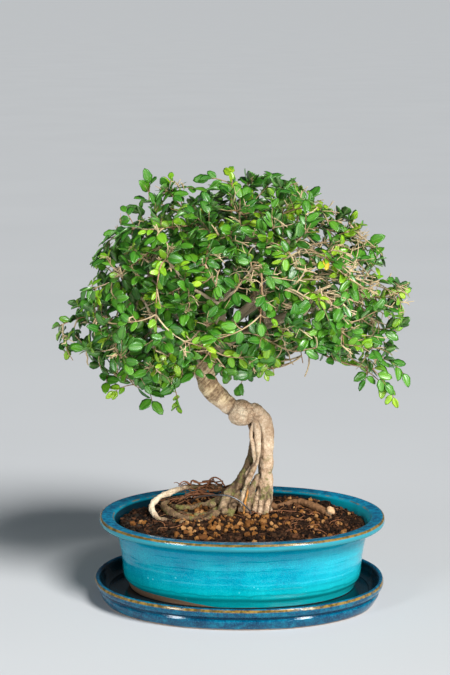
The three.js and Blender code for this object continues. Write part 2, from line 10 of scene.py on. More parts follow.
import bmesh
import bpy
import numpy as np
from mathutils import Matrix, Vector


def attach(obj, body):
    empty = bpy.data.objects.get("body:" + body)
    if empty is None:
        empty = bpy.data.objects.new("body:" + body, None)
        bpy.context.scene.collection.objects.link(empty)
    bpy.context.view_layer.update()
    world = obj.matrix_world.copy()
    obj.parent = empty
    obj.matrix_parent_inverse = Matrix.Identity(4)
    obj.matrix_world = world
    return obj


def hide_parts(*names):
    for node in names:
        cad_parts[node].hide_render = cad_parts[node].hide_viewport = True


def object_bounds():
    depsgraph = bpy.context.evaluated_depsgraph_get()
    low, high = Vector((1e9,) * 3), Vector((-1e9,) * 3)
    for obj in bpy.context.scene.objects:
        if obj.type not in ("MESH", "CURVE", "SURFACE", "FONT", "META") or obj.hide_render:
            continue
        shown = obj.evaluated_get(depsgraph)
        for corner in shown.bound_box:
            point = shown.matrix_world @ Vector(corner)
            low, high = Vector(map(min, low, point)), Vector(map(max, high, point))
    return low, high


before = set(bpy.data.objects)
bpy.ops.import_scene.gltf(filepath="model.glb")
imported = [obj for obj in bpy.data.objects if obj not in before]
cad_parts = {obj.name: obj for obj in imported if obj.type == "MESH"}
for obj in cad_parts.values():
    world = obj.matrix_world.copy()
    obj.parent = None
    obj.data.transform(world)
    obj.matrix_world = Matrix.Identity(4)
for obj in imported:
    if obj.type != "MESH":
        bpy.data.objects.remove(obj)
cad_box = [list(corner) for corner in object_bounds()]

MM = 0.001
GROUND = -3.0  # level of the surface that the saucer stands on
BOX_MIDDLE = np.mean(cad_box, axis=0) / MM + [0, 0, GROUND]
BOX_HALF = np.ptp(cad_box, axis=0) / MM / 2

# The photograph's view: how far the camera is from the point it looks at, and how steeply it looks down
VIEW_POINT = (-17.0, 0.0, 257.5)
VIEW_DISTANCE = 1800.0
VIEW_PITCH = 0.185
FOCAL_LENGTH = 98.13
SENSOR_WIDTH = 36

# Pottery
OVAL_DIFFERENCE = 34.0
OVAL_CENTRE = 80.0
OVAL_POWER = 2.12
POTTERY_AROUND = 220
SAUCER_PLACE = (-3.0, -12.0)
SAUCER_TURN = -0.04
POT_RIPPLE = 0.35  # height of the throwing rings
SAUCER_RIPPLE = 0.3
SAUCER_PROFILE = [  # half length and level, from the middle of the foot round to the inside
    (0, -3), (60, -3), (126, -3), (131.5, -3), (134.6, -2.3), (136.6, 0.4), (138.6, 4.2), (139.3, 6.6),
    (138.7, 8.6), (138.6, 9.8), (140.2, 11.2), (142.2, 12.9), (143.3, 15.6), (143.4, 17.6), (142.7, 19.4),
    (141.6, 20.2), (140.6, 20.3), (139.6, 19.8), (138.2, 18.0), (136.9, 15.2), (135, 11.8), (132.4, 9),
    (129, 7.4), (124, 7), (70, 7), (0, 7),
]
POT_PROFILE = [  # in the same way
    (0, 13), (96, 13), (102.6, 12.8), (104.4, 11.6), (105, 9), (105.6, 7.3), (107, 7), (111, 7), (112.4, 7.6),
    (113.2, 10), (114.4, 13.4), (116.2, 15.8), (117.8, 18.2), (118.7, 22), (119.2, 28), (119.9, 36),
    (121, 44), (122.6, 53), (124.4, 61), (126.4, 65.8), (129.4, 68.4), (133.6, 69.9), (138, 70.8),
    (140.4, 72), (141.7, 74), (141.9, 76), (141.4, 78), (140.3, 79), (138, 79.4), (134, 79.1), (130, 78.6),
    (128.2, 77.8), (126.8, 76.2), (124.6, 73.2), (122.6, 69), (120.8, 62), (118.4, 52), (115, 36),
    (112, 25), (108.6, 20), (104, 19), (0, 19),
]
RIM_EDGE = (141.4, 78)
RIM_INNER_EDGE = (128.2, 77.8)
LIP_UNDERSIDE = (138, 70.8)
SAUCER_EDGE = (143.4, 17.6)
SAUCER_WAIST = (138.6, 9.8)
SAUCER_FOOT = (134.6, -2.3)

# Soil
SOIL_EDGE = 122.0  # half length of the soil at the wall of the pot
SOIL_SKIRT = [(10, 20), (5.5, 40), (2.5, 60)]  # the sunk side of the soil: how far in from its edge, level
SOIL_EDGE_HEIGHT = 70.0
SOIL_EDGE_SINK = 1.2  # at the very wall
SOIL_MOUND = 8.5
SOIL_HEAPS = [(-38, 36, 30, 17, 8.0), (52, 54, 36, 24, 5.5)]  # middle, half width, half depth, height
SOIL_RINGS = 92
SOIL_AROUND = 230
GRAIN_COUNT = 3200
GRAIN_EDGE = 120.5
GRAIN_SEED = 11
CLAY_HEAPS = [  # middle, half width, half depth and share of the coarse orange-tan clay
    (-24, -38, 34, 22, 0.36), (20, -32, 28, 20, 0.26), (-40, 14, 18, 14, 0.45), (60, -30, 34, 26, 0.08),
]
CLAY_STRAYS = 0.025  # share of clay grains everywhere else
CHIP_SHARE = 0.42

# The tree: centre lines as in the part's source, with a radius at each point. Only the far root is bent
# further back
FORK = (-33, 0, 238)
TRUNK = [
    (21, 14, 68, 12), (21.5, 14, 82, 10.5), (22.5, 13, 96, 8.6), (23, 12, 112, 7.2), (24, 11, 128, 6.7),
    (24.6, 10, 146, 6.8), (23.8, 8, 163, 7), (19.5, 7, 175.5, 7.6), (11, 6, 180, 8.4), (-1, 5, 180.5, 9.6),
    (-11, 4, 187, 9.6), (-20.5, 3, 195.5, 9.8), (-30.5, 2, 206, 10.2), (-36.5, 1, 218.5, 10.2),
    (-36, 0, 230, 9), (-31, 0, 241, 7.4),
]
STRANDS = {
    "middle": [(12, 2, 176, 3.6), (15, 1, 160, 3.4), (14.7, 0, 140, 3.2), (9.6, -1, 123, 3.2),
               (4, -1, 107, 3.4), (0.6, 0, 94, 3.6), (-1, 2, 82, 4), (-1.5, 3, 72, 4.2)],
    "left": [(8, 9, 174, 4), (11, 9, 155, 3.6), (9.5, 8, 138, 4.1), (4.8, 7, 122, 4.8), (-3.2, 6, 109, 6.2),
             (-11.5, 5, 99, 6.7), (-19, 0, 90, 5), (-23.5, -5, 81, 4.4), (-35, -14, 78, 4.2),
             (-49, -17, 77, 4.4), (-64, -8, 78, 4.3), (-75, 9, 80, 3.8), (-79, 22, 82, 3),
             (-75, 34, 82, 2.6)],
    "loop": [(-14, 18, 94, 3.4), (-19, 36, 94, 2.6), (-27, 50, 93, 2.4), (-41, 53, 92, 2.6),
             (-56, 46, 93, 3.2), (-69, 30, 94, 3.6), (-82, 20, 91, 3.6), (-88.6, 12, 87, 3.6),
             (-89.5, 3, 82, 3.6), (-84, -9, 77.5, 3.6), (-74, -15, 75, 3.6), (-62, -12, 75, 3.4)],
    "inner": [(-16, 12, 92, 5), (-25, 22, 86, 4.2), (-35, 23, 82, 3.8), (-48, 17, 80, 3.6),
              (-62, 17, 80, 3.4), (-72, 26, 79, 2.8)],
    "front": [(-9, 12, 98, 3.6), (-7.5, 6, 88, 3), (-12, -3, 80, 2.8), (-19, -10, 72, 2.6)],
    "green": [(10, 10, 106, 4.2), (10, 11, 94, 5.2), (8.5, 11, 82, 5), (6, 11, 72, 4.8)],
    "right": [(25, 13, 100, 4.6), (29, 12, 88, 4.2), (31, 11, 78, 4), (33, 9, 70, 4)],
    "back": [(20, 18, 100, 5), (22, 27, 86, 4.6), (26, 36, 76, 3.8), (30, 44, 70, 3)],
    "far": [(28, 17, 82, 3.6), (39, 28, 78.5, 2.8), (50, 32, 82, 2.8), (60, 28, 83, 3.1), (70, 20, 82.5, 3.4),
            (79, 13, 80.5, 3.5), (86, 6, 76.5, 2.8), (89, 3, 70, 2)],
    "stick": [(8, 1, 119, 1.4), (5.5, -3.5, 104, 1.2), (3, -5, 90, 1.2), (0.5, -5, 74, 1.2)],
}
SMALL_ROOTS = {  # fill and fray the foot of the trunk, all within the bulk of the roots above
    "toe_left": [(17, 9, 104, 2), (14.5, 7, 94, 2.7), (12.5, 4, 84, 2.9), (10, 1, 72, 2.5)],
    "toe_middle": [(21, 9, 101, 2), (20, 6.5, 92, 2.8), (18.5, 3.5, 84, 2.9), (16.5, 0, 72, 2.5)],
    "toe_right": [(26, 9, 102, 2.2), (26, 7, 93, 3), (24.5, 4, 84, 3.1), (23, 1, 72, 2.7)],
    "bulge": [(16, 9, 116, 2.4), (10.5, 7, 105, 3.8), (7.5, 6, 94, 4.2), (5, 4, 82, 3.8), (2, 2, 71, 3.2)],
    "clump": [(-4, 6, 112, 3.4), (-12, 3, 101, 5.2), (-18.5, -2, 90, 5.3), (-23, -6, 79, 5),
              (-27, -10, 70, 4)],
    "clump_front": [(-3, 5, 104, 3), (-8, -2, 93, 4), (-12, -7, 82, 4.2), (-15, -11, 70, 3.4)],
    "twist": [(11, 2, 172, 2.2), (8.5, 1, 158, 2.1), (11.5, -3, 145, 2.2), (11.5, -2, 132, 2.3),
              (5, 2, 120, 2.3), (-2, 5, 108, 2), (-9, 8, 98, 1.6)],
    "surface_left": [(-24, -8, 82, 4.2), (-38, -20, 77, 3.8), (-52, -23, 75.5, 3.4), (-66, -20, 75, 2.8),
                     (-78, -9, 74, 2)],
    "surface_inner": [(-22, 0, 84, 3.4), (-34, -3, 79, 3.2), (-48, -4, 78, 3), (-60, 4, 78, 2.6),
                      (-68, 14, 76, 2)],
}
LUMPS = [  # middle, radius and tone, the knob first
    (-1, 3, 181.5, 13.8, 0.7), (12, 3.5, 183, 8.4, 0.7), (-35.5, 1, 233, 9.4, 0.7),
    (88.5, 8, 79.5, 4.7, 1.31), (14.6, -1, 184, 6.2, 0.7), (-30, -5, 90, 4, 0.4), (-17, -9, 84, 4, 0.4),
    (-8, -6, 90, 3.4, 0.4),
]
KNOB_MIDDLE = (2, 3, 183)
KNOB_REACH = 19
TRUNK_SWELLS = [(2, 140, 32, 0.1), (2, 72, 16, -0.28), (0, -13, 7, -0.09)]  # axis, middle, half length, share
SLIMMED = {"loop": 0.84, "right": 0.8, "green": 0.8}
SHIFTED = {"right": -3, "green": -3}  # along X
# The bark's layer "tone": red-brown live root at 0, brown, pale from 0.6, cream at 1, orange-brown from 1.3
PLAIN_TONE = 0.6
ROOT_TONES = {
    "stick": 1.5, "inner": 0.3, "left": 0.35, "far": 0.0, "middle": 0.62, "clump": 0.42, "clump_front": 0.38,
    "surface_left": 0.34, "surface_inner": 0.3, "bulge": 0.46, "twist": 0.58,
}
LOOP_TONES = ((0.3, 0.48, 0.78, 0.92), (0.2, 1, 0.95, 0.4))  # shares of the loop's length, tones there
TRUNK_VOXEL = 0.87
LIMB_VOXEL = 0.92
# How far noise bends each centre line
TRUNK_WANDER = 0.35
ROOT_WANDER = 0.7
LIMB_WANDER = 0.9
BRANCH_WANDER = 1.1
BRANCH_RADIUS = 1.75
BRANCH_TAPER = 0.55
LIMB_SAMPLES = 6  # places between two points of a limb from which side branches can spring
LIMBS = {
    "right_low": [(*FORK, 5.1), (2, -8, 264, 4.1), (38, -20, 282, 3.1), (78, -24, 290, 2.3),
                  (108, -18, 284, 1.9)],
    "right_high": [(*FORK, 5.5), (-10, 5, 270, 4.4), (20, 10, 303, 3.4), (46, 13, 330, 2.5),
                   (64, 12, 348, 1.9)],
    "top": [(-20, 3, 260, 3.9), (-18, -3, 292, 3.1), (-8, 2, 324, 2.3), (-2, 0, 346, 1.9)],
    "left_low": [(-36, 0, 231, 4.4), (-62, -10, 243, 3.6), (-92, -15, 253, 2.7), (-120, -12, 255, 1.9)],
    "left_high": [(*FORK, 4.4), (-52, 6, 268, 3.4), (-74, 9, 296, 2.5), (-90, 6, 316, 1.9)],
    "front": [(*FORK, 3.9), (-34, -28, 256, 3.1), (-28, -52, 276, 2.3), (-22, -68, 292, 1.9)],
    "front_right": [(2, -8, 264, 3.4), (22, -34, 274, 2.7), (44, -54, 286, 2), (58, -64, 292, 1.9)],
    "front_left": [(-62, -10, 243, 3), (-78, -34, 260, 2.3), (-86, -52, 272, 1.9)],
    "back": [(*FORK, 3.9), (-30, 30, 258, 3.1), (-22, 54, 280, 2.3), (-14, 68, 294, 1.9)],
    "back_right": [(-10, 5, 270, 3.4), (18, 34, 286, 2.7), (46, 54, 292, 2), (62, 60, 290, 1.9)],
    "back_left": [(-52, 6, 268, 3), (-70, 32, 278, 2.3), (-84, 48, 284, 1.9)],
}
ARCHED_ROOT = [(-36, 46, 93), (-33, 45, 101), (-28, 46, 104), (-22, 43, 102.5), (-17, 44, 95)]
FINE_ROOT_SEED = 21
WIRE_RADIUS = 0.8
WIRE = [(-56, 35, 68), (-50.5, 30, 83), (-43.5, 15, 92), (-33, 2, 97), (-25.5, -5, 99.5), (-18, -9, 100.5),
        (-10, -10.5, 99), (-2.5, -11, 95), (2.6, -10, 90), (8.5, -7, 82), (10, -6, 72)]

# The crown, as in the part's source
CROWN_CENTRE = np.array([-10.0, 0.0, 262.0])
CROWN_REACH = [170, 178, 164, 164, 164, 158, 157, 158, 163, 155, 154, 160, 179,
               150, 130, 101, 59, 55, 54, 52, 50, 51, 67, 164]
CROWN_DEPTH = 122.0
CROWN_HALF = np.array([162.0, 118.0, 138.0])
FRONT_LIFT = 0.19
LEADERS = [(0, -0.06, 1), (-1, -0.08, -0.01), (0.97, -0.1, 0.24), (0.955, -0.1, -0.28), (-0.76, -0.2, -0.62)]
SPRAYS = 38
SPRAY_LENGTH = 66.0
GOLDEN_ANGLE = math.pi * (3 - math.sqrt(5))
SPRAY_RISE = 0.3
SPRAY_HANG = 0.36
SPRAY_MARGIN = 8.0
SPRAY_SPACE = 60.0
SPRAY_SPAN = 1.55  # how far down from the top the turns go, where 2 would be the bottom
SPRAY_TRIALS = 420
FORK_SPACE = 42.0
SPRAY_SEED = 2026
BRANCH_TURNS = 20
BRANCH_SPACE = 7.0
SHOOT_GAP = 0.7

# Leaves and twigs of the dressed crown
TWIG_ROUNDS = [  # depths are shares of the crown's reach at the tips, lengths the shortest and the longest
    {"count": 260, "depths": (0.6, 0.98), "lengths": (14, 75), "radius": 0.8, "sides": 5, "steps": 7,
     "turned": 0, "foot_age": 0.9, "first_leaf": 0.35},
    {"count": 1500, "depths": (0.5, 1.0), "lengths": (8, 42), "radius": 0.5, "sides": 4, "steps": 5,
     "turned": 1, "foot_age": 0.5, "first_leaf": 0.15},
]
TWIG_SPAN = 1.64  # like SPRAY_SPAN
TWIG_TAPER = np.array([1.1, 0.5])
BARE_TAPER = np.array([1.1, 0.55])
BARE_SWEEP = (0.75, -0.15, -0.5)
BARE_LENGTH = (14, 40)
STRAY_SWEEP = (0.1, -0.5, 0.0)
STRAY_LENGTH = (8, 24)
BARE_BACK = 30  # no bare twigs further back
BARE_TWIGS = 125
STRAY_TWIGS = 220  # shorter bare ones all over the front
STRAY_DEPTH = 0.55  # they spring from this share of the crown's reach outwards
SPURS = 3  # short side twigs on each of the bare ones
CROWN_SEED = 7
LEAF_SPACING = 5.4
LEAF_LENGTH = (10.6, 16.6)
LEAF_WIDTH = 0.6
LEAF_ROWS = 7
LEAF_COLUMNS = 5
LEAF_WAVES = 0.05  # how far the edge of a leaf wavers, as a share of its half width
LEAF_DROOP = 0.16  # how far the tip of a leaf hangs, as a share of its length
BARE_SHARE = 0.04  # of the twigs, besides those in the bare patch
YELLOW_SHARE = 0.003
YOUNG_SHARE = 0.17
BARE_PATCH = (88.0, 324.0, 58.0, 40.0)  # where twigs have no leaves: middle and half size from the front
WINDOWS = [  # thin places that show the limbs: middle and half size, and the share of leaves they lack
    (8.0, 303.0, 21.0, 24.0, 0.96), (26.0, 272.0, 24.0, 17.0, 0.75), (-38.0, 286.0, 12.0, 22.0, 0.5),
    (-31.0, 236.0, 14.0, 17.0, 0.95), (-9.0, 266.0, 16.0, 16.0, 0.85),
]
LEAF_WINDOW_BACK = 30  # how far back the thin places lack leaves
TWIG_WINDOW_BACK = 25
SPRIGS = [  # tips of shoots that stand out from the outline, and whether they are young
    (-11, 0, 421, True), (-32, -12, 415, False), (29, -6, 414, False), (58, -10, 404, True),
    (77, 4, 388, True), (-69, -8, 413, True), (-90, 2, 408, False), (-112, -6, 381, False),
    (-137, 0, 330, False), (-177, -2, 264, True), (-169, -18, 249, True), (106, -4, 374, True),
    (125, 0, 351, False), (156, -4, 303, True), (153, 4, 288, True), (148, -10, 200, True),
    (139, -16, 214, False), (158, 0, 222, False), (120, -14, 218, False), (-124, -20, 208, True),
    (-133, -10, 215, False), (-62, -22, 194, True), (-88, -18, 198, False), (-2, -16, 214, False),
    (22, -20, 226, True),
]
SHORTEST_SPRIG = 14
STUBS = [  # bare ends under the crown on the right: start and end
    ((22, -4, 250), (31, -9, 222)), ((39, -8, 256), (49, -14, 233)), ((68, -10, 252), (62, -14, 221)),
    ((14, -6, 262), (33, -12, 250)), ((92, -12, 258), (104, -16, 238)), ((-152, -8, 250), (-150, -14, 232)),
]
OUTLINE_MARGIN = 1.05
LOWER_EDGE = [  # the crown's ragged lower edge as the photograph's view sees it: place along X, level
    (-191, 261), (-170, 237), (-146, 229), (-131, 212), (-112, 214), (-90, 201), (-67, 199), (-58, 214),
    (-41, 218), (-11, 206), (11, 210), (26, 225), (34, 233), (49, 246), (64, 246), (86, 234), (112, 234),
    (119, 214), (138, 199), (153, 206), (168, 240),
]
ROOM = 1.5  # how far inside the part's box the leaf tips stay

# Floor and light
FLOOR_REACH = 300000.0
ROOM_LIGHT = 0.09
ROOM_COLOUR = (0.7, 0.88, 1.0)
BROAD_LIGHT = 4.0
BROAD_ANGLE = 0.35
BROAD_WAY = (-0.5, 0.66, -0.84)
LIGHT_AIM = (0, 0, 200)
SOFTBOXES = {  # place, size, watts, colour
    "right_softbox": ((1000, -1350, 400), (260, 600), 18, (1.0, 0.99, 0.97)),
    "left_softbox": ((-1050, -1300, 400), (260, 600), 14, (0.9, 0.96, 1.0)),
}


# Numbers and curves


def lehmer(seed):
    """The part's repeatable row of numbers between 0 and 1: each is 16807 times the last, modulo 2^31 - 1."""
    state = seed
    while True:
        state = state * 16807 % 2147483647
        yield state / 2147483647


def unit(vectors):
    """Vectors scaled to length one, along the last axis."""
    vectors = np.asarray(vectors, float)
    return vectors / np.maximum(np.linalg.norm(vectors, axis=-1, keepdims=True), 1e-12)


def through(points, count):
    """A uniform Catmull-Rom curve through rows of numbers, sampled at count even steps of its parameter."""
    points = np.asarray(points, float)
    ends = np.vstack([2 * points[0] - points[1], points, 2 * points[-1] - points[-2]])
    at = np.linspace(0, len(points) - 1, count)
    i = np.minimum(at.astype(int), len(points) - 2)
    t = (at - i)[:, None]
    a, b, c, d = ends[i], ends[i + 1], ends[i + 2], ends[i + 3]
    return 0.5 * (2 * b + (c - a) * t + (2 * a - 5 * b + 4 * c - d) * t**2 + (3 * b - a - 3 * c + d) * t**3)


def bow(start, middle, end, t):
    """A quadratic Bezier curve at the shares t."""
    t = np.asarray(t, float)[..., None]
    return (1 - t) ** 2 * start + 2 * t * (1 - t) * middle + t**2 * end


def turned(vector, axis, angle):
    """A vector turned about a unit axis by Rodrigues' formula."""
    c, s = math.cos(angle), math.sin(angle)
    return vector * c + np.cross(axis, vector) * s + axis * float(np.dot(axis, vector)) * (1 - c)


def around(count):
    """Angles of this many even steps round a circle."""
    return np.arange(count) * 2 * math.pi / count


def heading_at(curve, share):
    """The direction of a Bezier curve at a share of its length."""
    return unit(bow(*curve, min(1.0, share + 0.05)) - bow(*curve, share - 0.05))


def hump(x, y, middle_x, middle_y, half_x, half_y):
    """1 at its middle, and from there e to the minus squared distance, counted in half sizes."""
    return np.exp(-(((x - middle_x) / half_x) ** 2) - ((y - middle_y) / half_y) ** 2)


def lattice(ix, iy, iz, seed):
    """A number between 0 and 1 for each whole-number place, by integer mixing."""
    h = (ix * 374761393 + iy * 668265263 + iz * 1442695041 + seed * 97531) & 0xFFFFFFFF
    h = ((h ^ (h >> 13)) * 1274126177) & 0xFFFFFFFF
    return ((h ^ (h >> 16)) & 0xFFFFFF) / 0xFFFFFF


def noise(points, size, seed=0, octaves=1):
    """Smooth value noise from -1 to 1: corner values blended by smoothstep, halved at each octave."""
    total, weight = 0.0, 1.0
    for octave in range(octaves):
        place = np.asarray(points, float) / (size / 2**octave)
        cell = np.floor(place).astype(np.int64)
        share = place - cell
        share = share * share * (3 - 2 * share)
        value = 0.0
        for corner in product((0, 1), repeat=3):
            x, y, z = np.moveaxis(np.where(corner, share, 1 - share), -1, 0)
            value = value + x * y * z * lattice(*np.moveaxis(cell + corner, -1, 0), seed + octave)
        total = total + weight * (2 * value - 1)
        weight /= 2
    return total


def wander(points, size, seed):
    """Smooth noise from -1 to 1 along each axis, which bends a path."""
    return np.stack([noise(points, size, seed + axis) for axis in range(3)], axis=1)


# Meshes


class Mesh:
    """Vertices, faces and per-vertex numbers of one piece, gathered surface by surface in millimetres."""

    def __init__(self):
        self.points, self.faces, self.layers, self.count = [], [], {}, 0

    def add(self, points, faces, **layers):
        """Adds a surface: its points, its faces as blocks of point numbers, and named numbers by point."""
        points = np.asarray(points, float).reshape(-1, 3)
        for name, values in layers.items():
            block = np.broadcast_to(np.asarray(values, float).ravel(), (len(points),))
            self.layers.setdefault(name, []).append(block)
        self.points.append(points)
        self.faces += [np.asarray(block) + self.count for block in faces]
        self.count += len(points)

    def grid(self, points, wrap=False, caps=False, **layers):
        """Adds a grid of points[row, column]. wrap joins the last column to the first, and caps closes the
        first and last rows, which are rings, with a point at the middle of each."""
        rows, columns = points.shape[:2]
        number = np.arange(rows * columns).reshape(rows, columns)
        across = np.roll(number, -1, axis=1) if wrap else number[:, 1:]
        near = number if wrap else number[:, :-1]
        quads = np.stack([near[:-1], across[:-1], across[1:], near[1:]], axis=-1).reshape(-1, 4)
        flat = points.reshape(-1, 3)
        faces = [quads]
        if caps:
            flat = np.vstack([flat, points[0].mean(0), points[-1].mean(0)])
            first, last = rows * columns, rows * columns + 1
            a, b = number[0], np.roll(number[0], -1)
            c, d = number[-1], np.roll(number[-1], -1)
            faces.append(np.stack([b, a, np.full(columns, first)], axis=-1))
            faces.append(np.stack([c, d, np.full(columns, last)], axis=-1))
            spread = {name: np.broadcast_to(value, (rows, columns)).ravel() for name, value in layers.items()}
            layers = {name: np.append(value, [value[0], value[-1]]) for name, value in spread.items()}
        self.add(flat, faces, **layers)

    def build(self, name, smooth=True):
        """The Blender mesh, in metres, raised from the source's levels to the ground."""
        points = (np.vstack(self.points) - [0, 0, GROUND]) * MM
        mesh = bpy.data.meshes.new(name)
        mesh.from_pydata(points, [], [face for block in self.faces for face in block.tolist()])
        for layer, blocks in self.layers.items():
            write_layer(mesh, layer, np.concatenate(blocks))
        mesh.polygons.foreach_set("use_smooth", np.full(len(mesh.polygons), smooth))
        mesh.validate()
        mesh.update()
        return mesh


def write_layer(mesh, name, values):
    """Gives a Blender mesh a named number at each of its points."""
    mesh.attributes.new(name, "FLOAT", "POINT").data.foreach_set("value", values)


def new_object(name, data):
    """An object at the origin that holds this data, linked to the scene."""
    obj = bpy.data.objects.new(name, data)
    bpy.context.scene.collection.objects.link(obj)
    return obj


def piece(name, mesh, material, replaces=()):
    """A finished piece of the object, which rides with the frame's one body."""
    obj = new_object(name, mesh)
    mesh.materials.append(material)
    if replaces:
        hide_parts(*replaces)
    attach(obj, "root")


def tube_rings(path, radii, sides):
    """Rings of points round a path: circles square to it, carried along without twist."""
    tangents = unit(np.gradient(path, axis=0))
    normals = [unit(np.cross(tangents[0], [0.31, 0.17, 0.93]))]
    for tangent in tangents[1:]:
        normals.append(unit(normals[-1] - tangent * np.dot(normals[-1], tangent)))
    normals = np.array(normals)
    others = np.cross(tangents, normals)
    turn = around(sides)[:, None]
    ring = normals[:, None] * np.cos(turn) + others[:, None] * np.sin(turn)
    return path[:, None] + ring * radii[:, None, None]


def add_tube(mesh, path, radii, sides, **layers):
    """A closed tube with a domed end at each end of its path."""
    path, radii = np.asarray(path, float), np.broadcast_to(radii, (len(path),)).astype(float)
    first, last = unit(path[0] - path[1]), unit(path[-1] - path[-2])
    path = np.vstack([path[0] + first * radii[0] * 0.5, path, path[-1] + last * radii[-1] * 0.5])
    rings = tube_rings(path, np.concatenate([[radii[0] * 0.6], radii, [radii[-1] * 0.6]]), sides)
    values = {}
    for name, value in layers.items():
        ends_too = np.pad(np.broadcast_to(value, (len(radii),)).astype(float), 1, mode="edge")
        values[name] = np.repeat(ends_too, sides).reshape(len(path), sides)
    mesh.grid(rings, wrap=True, caps=True, **values)


def copies(quads, triangles, stride, count):
    """The faces of this many copies of a small shape that has stride points."""
    first = (np.arange(count) * stride)[:, None, None]
    return [(quads + first).reshape(-1, 4), (triangles + first).reshape(-1, 3)]


def oval(half_length, turn):
    """A ring of the pottery's plan: a superellipse whose half width is OVAL_DIFFERENCE less than its half
    length, and less so near the middle."""
    half_width = half_length - OVAL_DIFFERENCE * np.minimum(1, half_length / OVAL_CENTRE)
    c, s = np.cos(turn), np.sin(turn)
    along = np.sign(c) * np.abs(c) ** (2 / OVAL_POWER)
    across = np.sign(s) * np.abs(s) ** (2 / OVAL_POWER)
    return half_length * along, half_width * across


def profile_lengths(profile):
    """Distance along a profile up to each of its points."""
    steps = np.linalg.norm(np.diff(np.asarray(profile, float), axis=0), axis=1)
    return np.concatenate([[0], np.cumsum(steps)])


def mark(profile, point):
    """Distance along a profile of one of its points."""
    return float(profile_lengths(profile)[profile.index(point)])


def pottery(profile, ripple):
    """An oval turned body: the profile, rounded through its points, carried round the pottery's plan, with
    faint throwing rings of the given height. Its layer "along" is the distance along the profile."""
    profile = [(max(r, 0.01), z) for r, z in profile]
    fine = through(profile, 5 * len(profile))
    along = through(profile_lengths(profile)[:, None], len(fine))
    x, y = oval(np.maximum(fine[:, :1], 0.01), around(POTTERY_AROUND)[None])
    points = np.stack([x, y, np.broadcast_to(fine[:, 1:], x.shape)], axis=-1)
    broad, rings = noise(points * [1, 1, 2.2], 26, 5), noise(points * [0.15, 0.15, 1], 3.2, 6)
    points[..., :2] *= 1 + ((broad + rings * 0.9) * ripple / 140)[..., None]
    mesh = Mesh()
    mesh.grid(points, wrap=True, caps=True, along=along)
    return mesh


# Finishes


class Signal:
    """A number that varies over a surface, held by a socket. Arithmetic on it adds Math nodes."""

    def __init__(self, finish, socket):
        self.finish, self.socket = finish, socket

    def math(self, operation, *others):
        """What a Math node makes of this number and the others."""
        return self.finish.signal("Math", {"operation": operation}, dict(enumerate((self, *others))))

    def __add__(self, other):
        return self.math("ADD", other)

    def __mul__(self, other):
        return self.math("MULTIPLY", other)

    def __sub__(self, other):
        return self.math("SUBTRACT", other)

    def __rsub__(self, other):
        return (self * -1.0).math("ADD", other)

    __radd__, __rmul__ = __add__, __mul__

    def over(self, low, high):
        """0 below low and 1 above high, smooth between. With high under low it runs the other way."""
        sockets = {"Value": self, "From Min": low, "From Max": high}
        return self.finish.signal("MapRange", {"interpolation_type": "SMOOTHSTEP"}, sockets, "Result")

    def near(self, centre, width):
        """1 at the centre, falling to 0 at width from it."""
        return (self - centre).math("ABSOLUTE").over(width, width * 0.35)


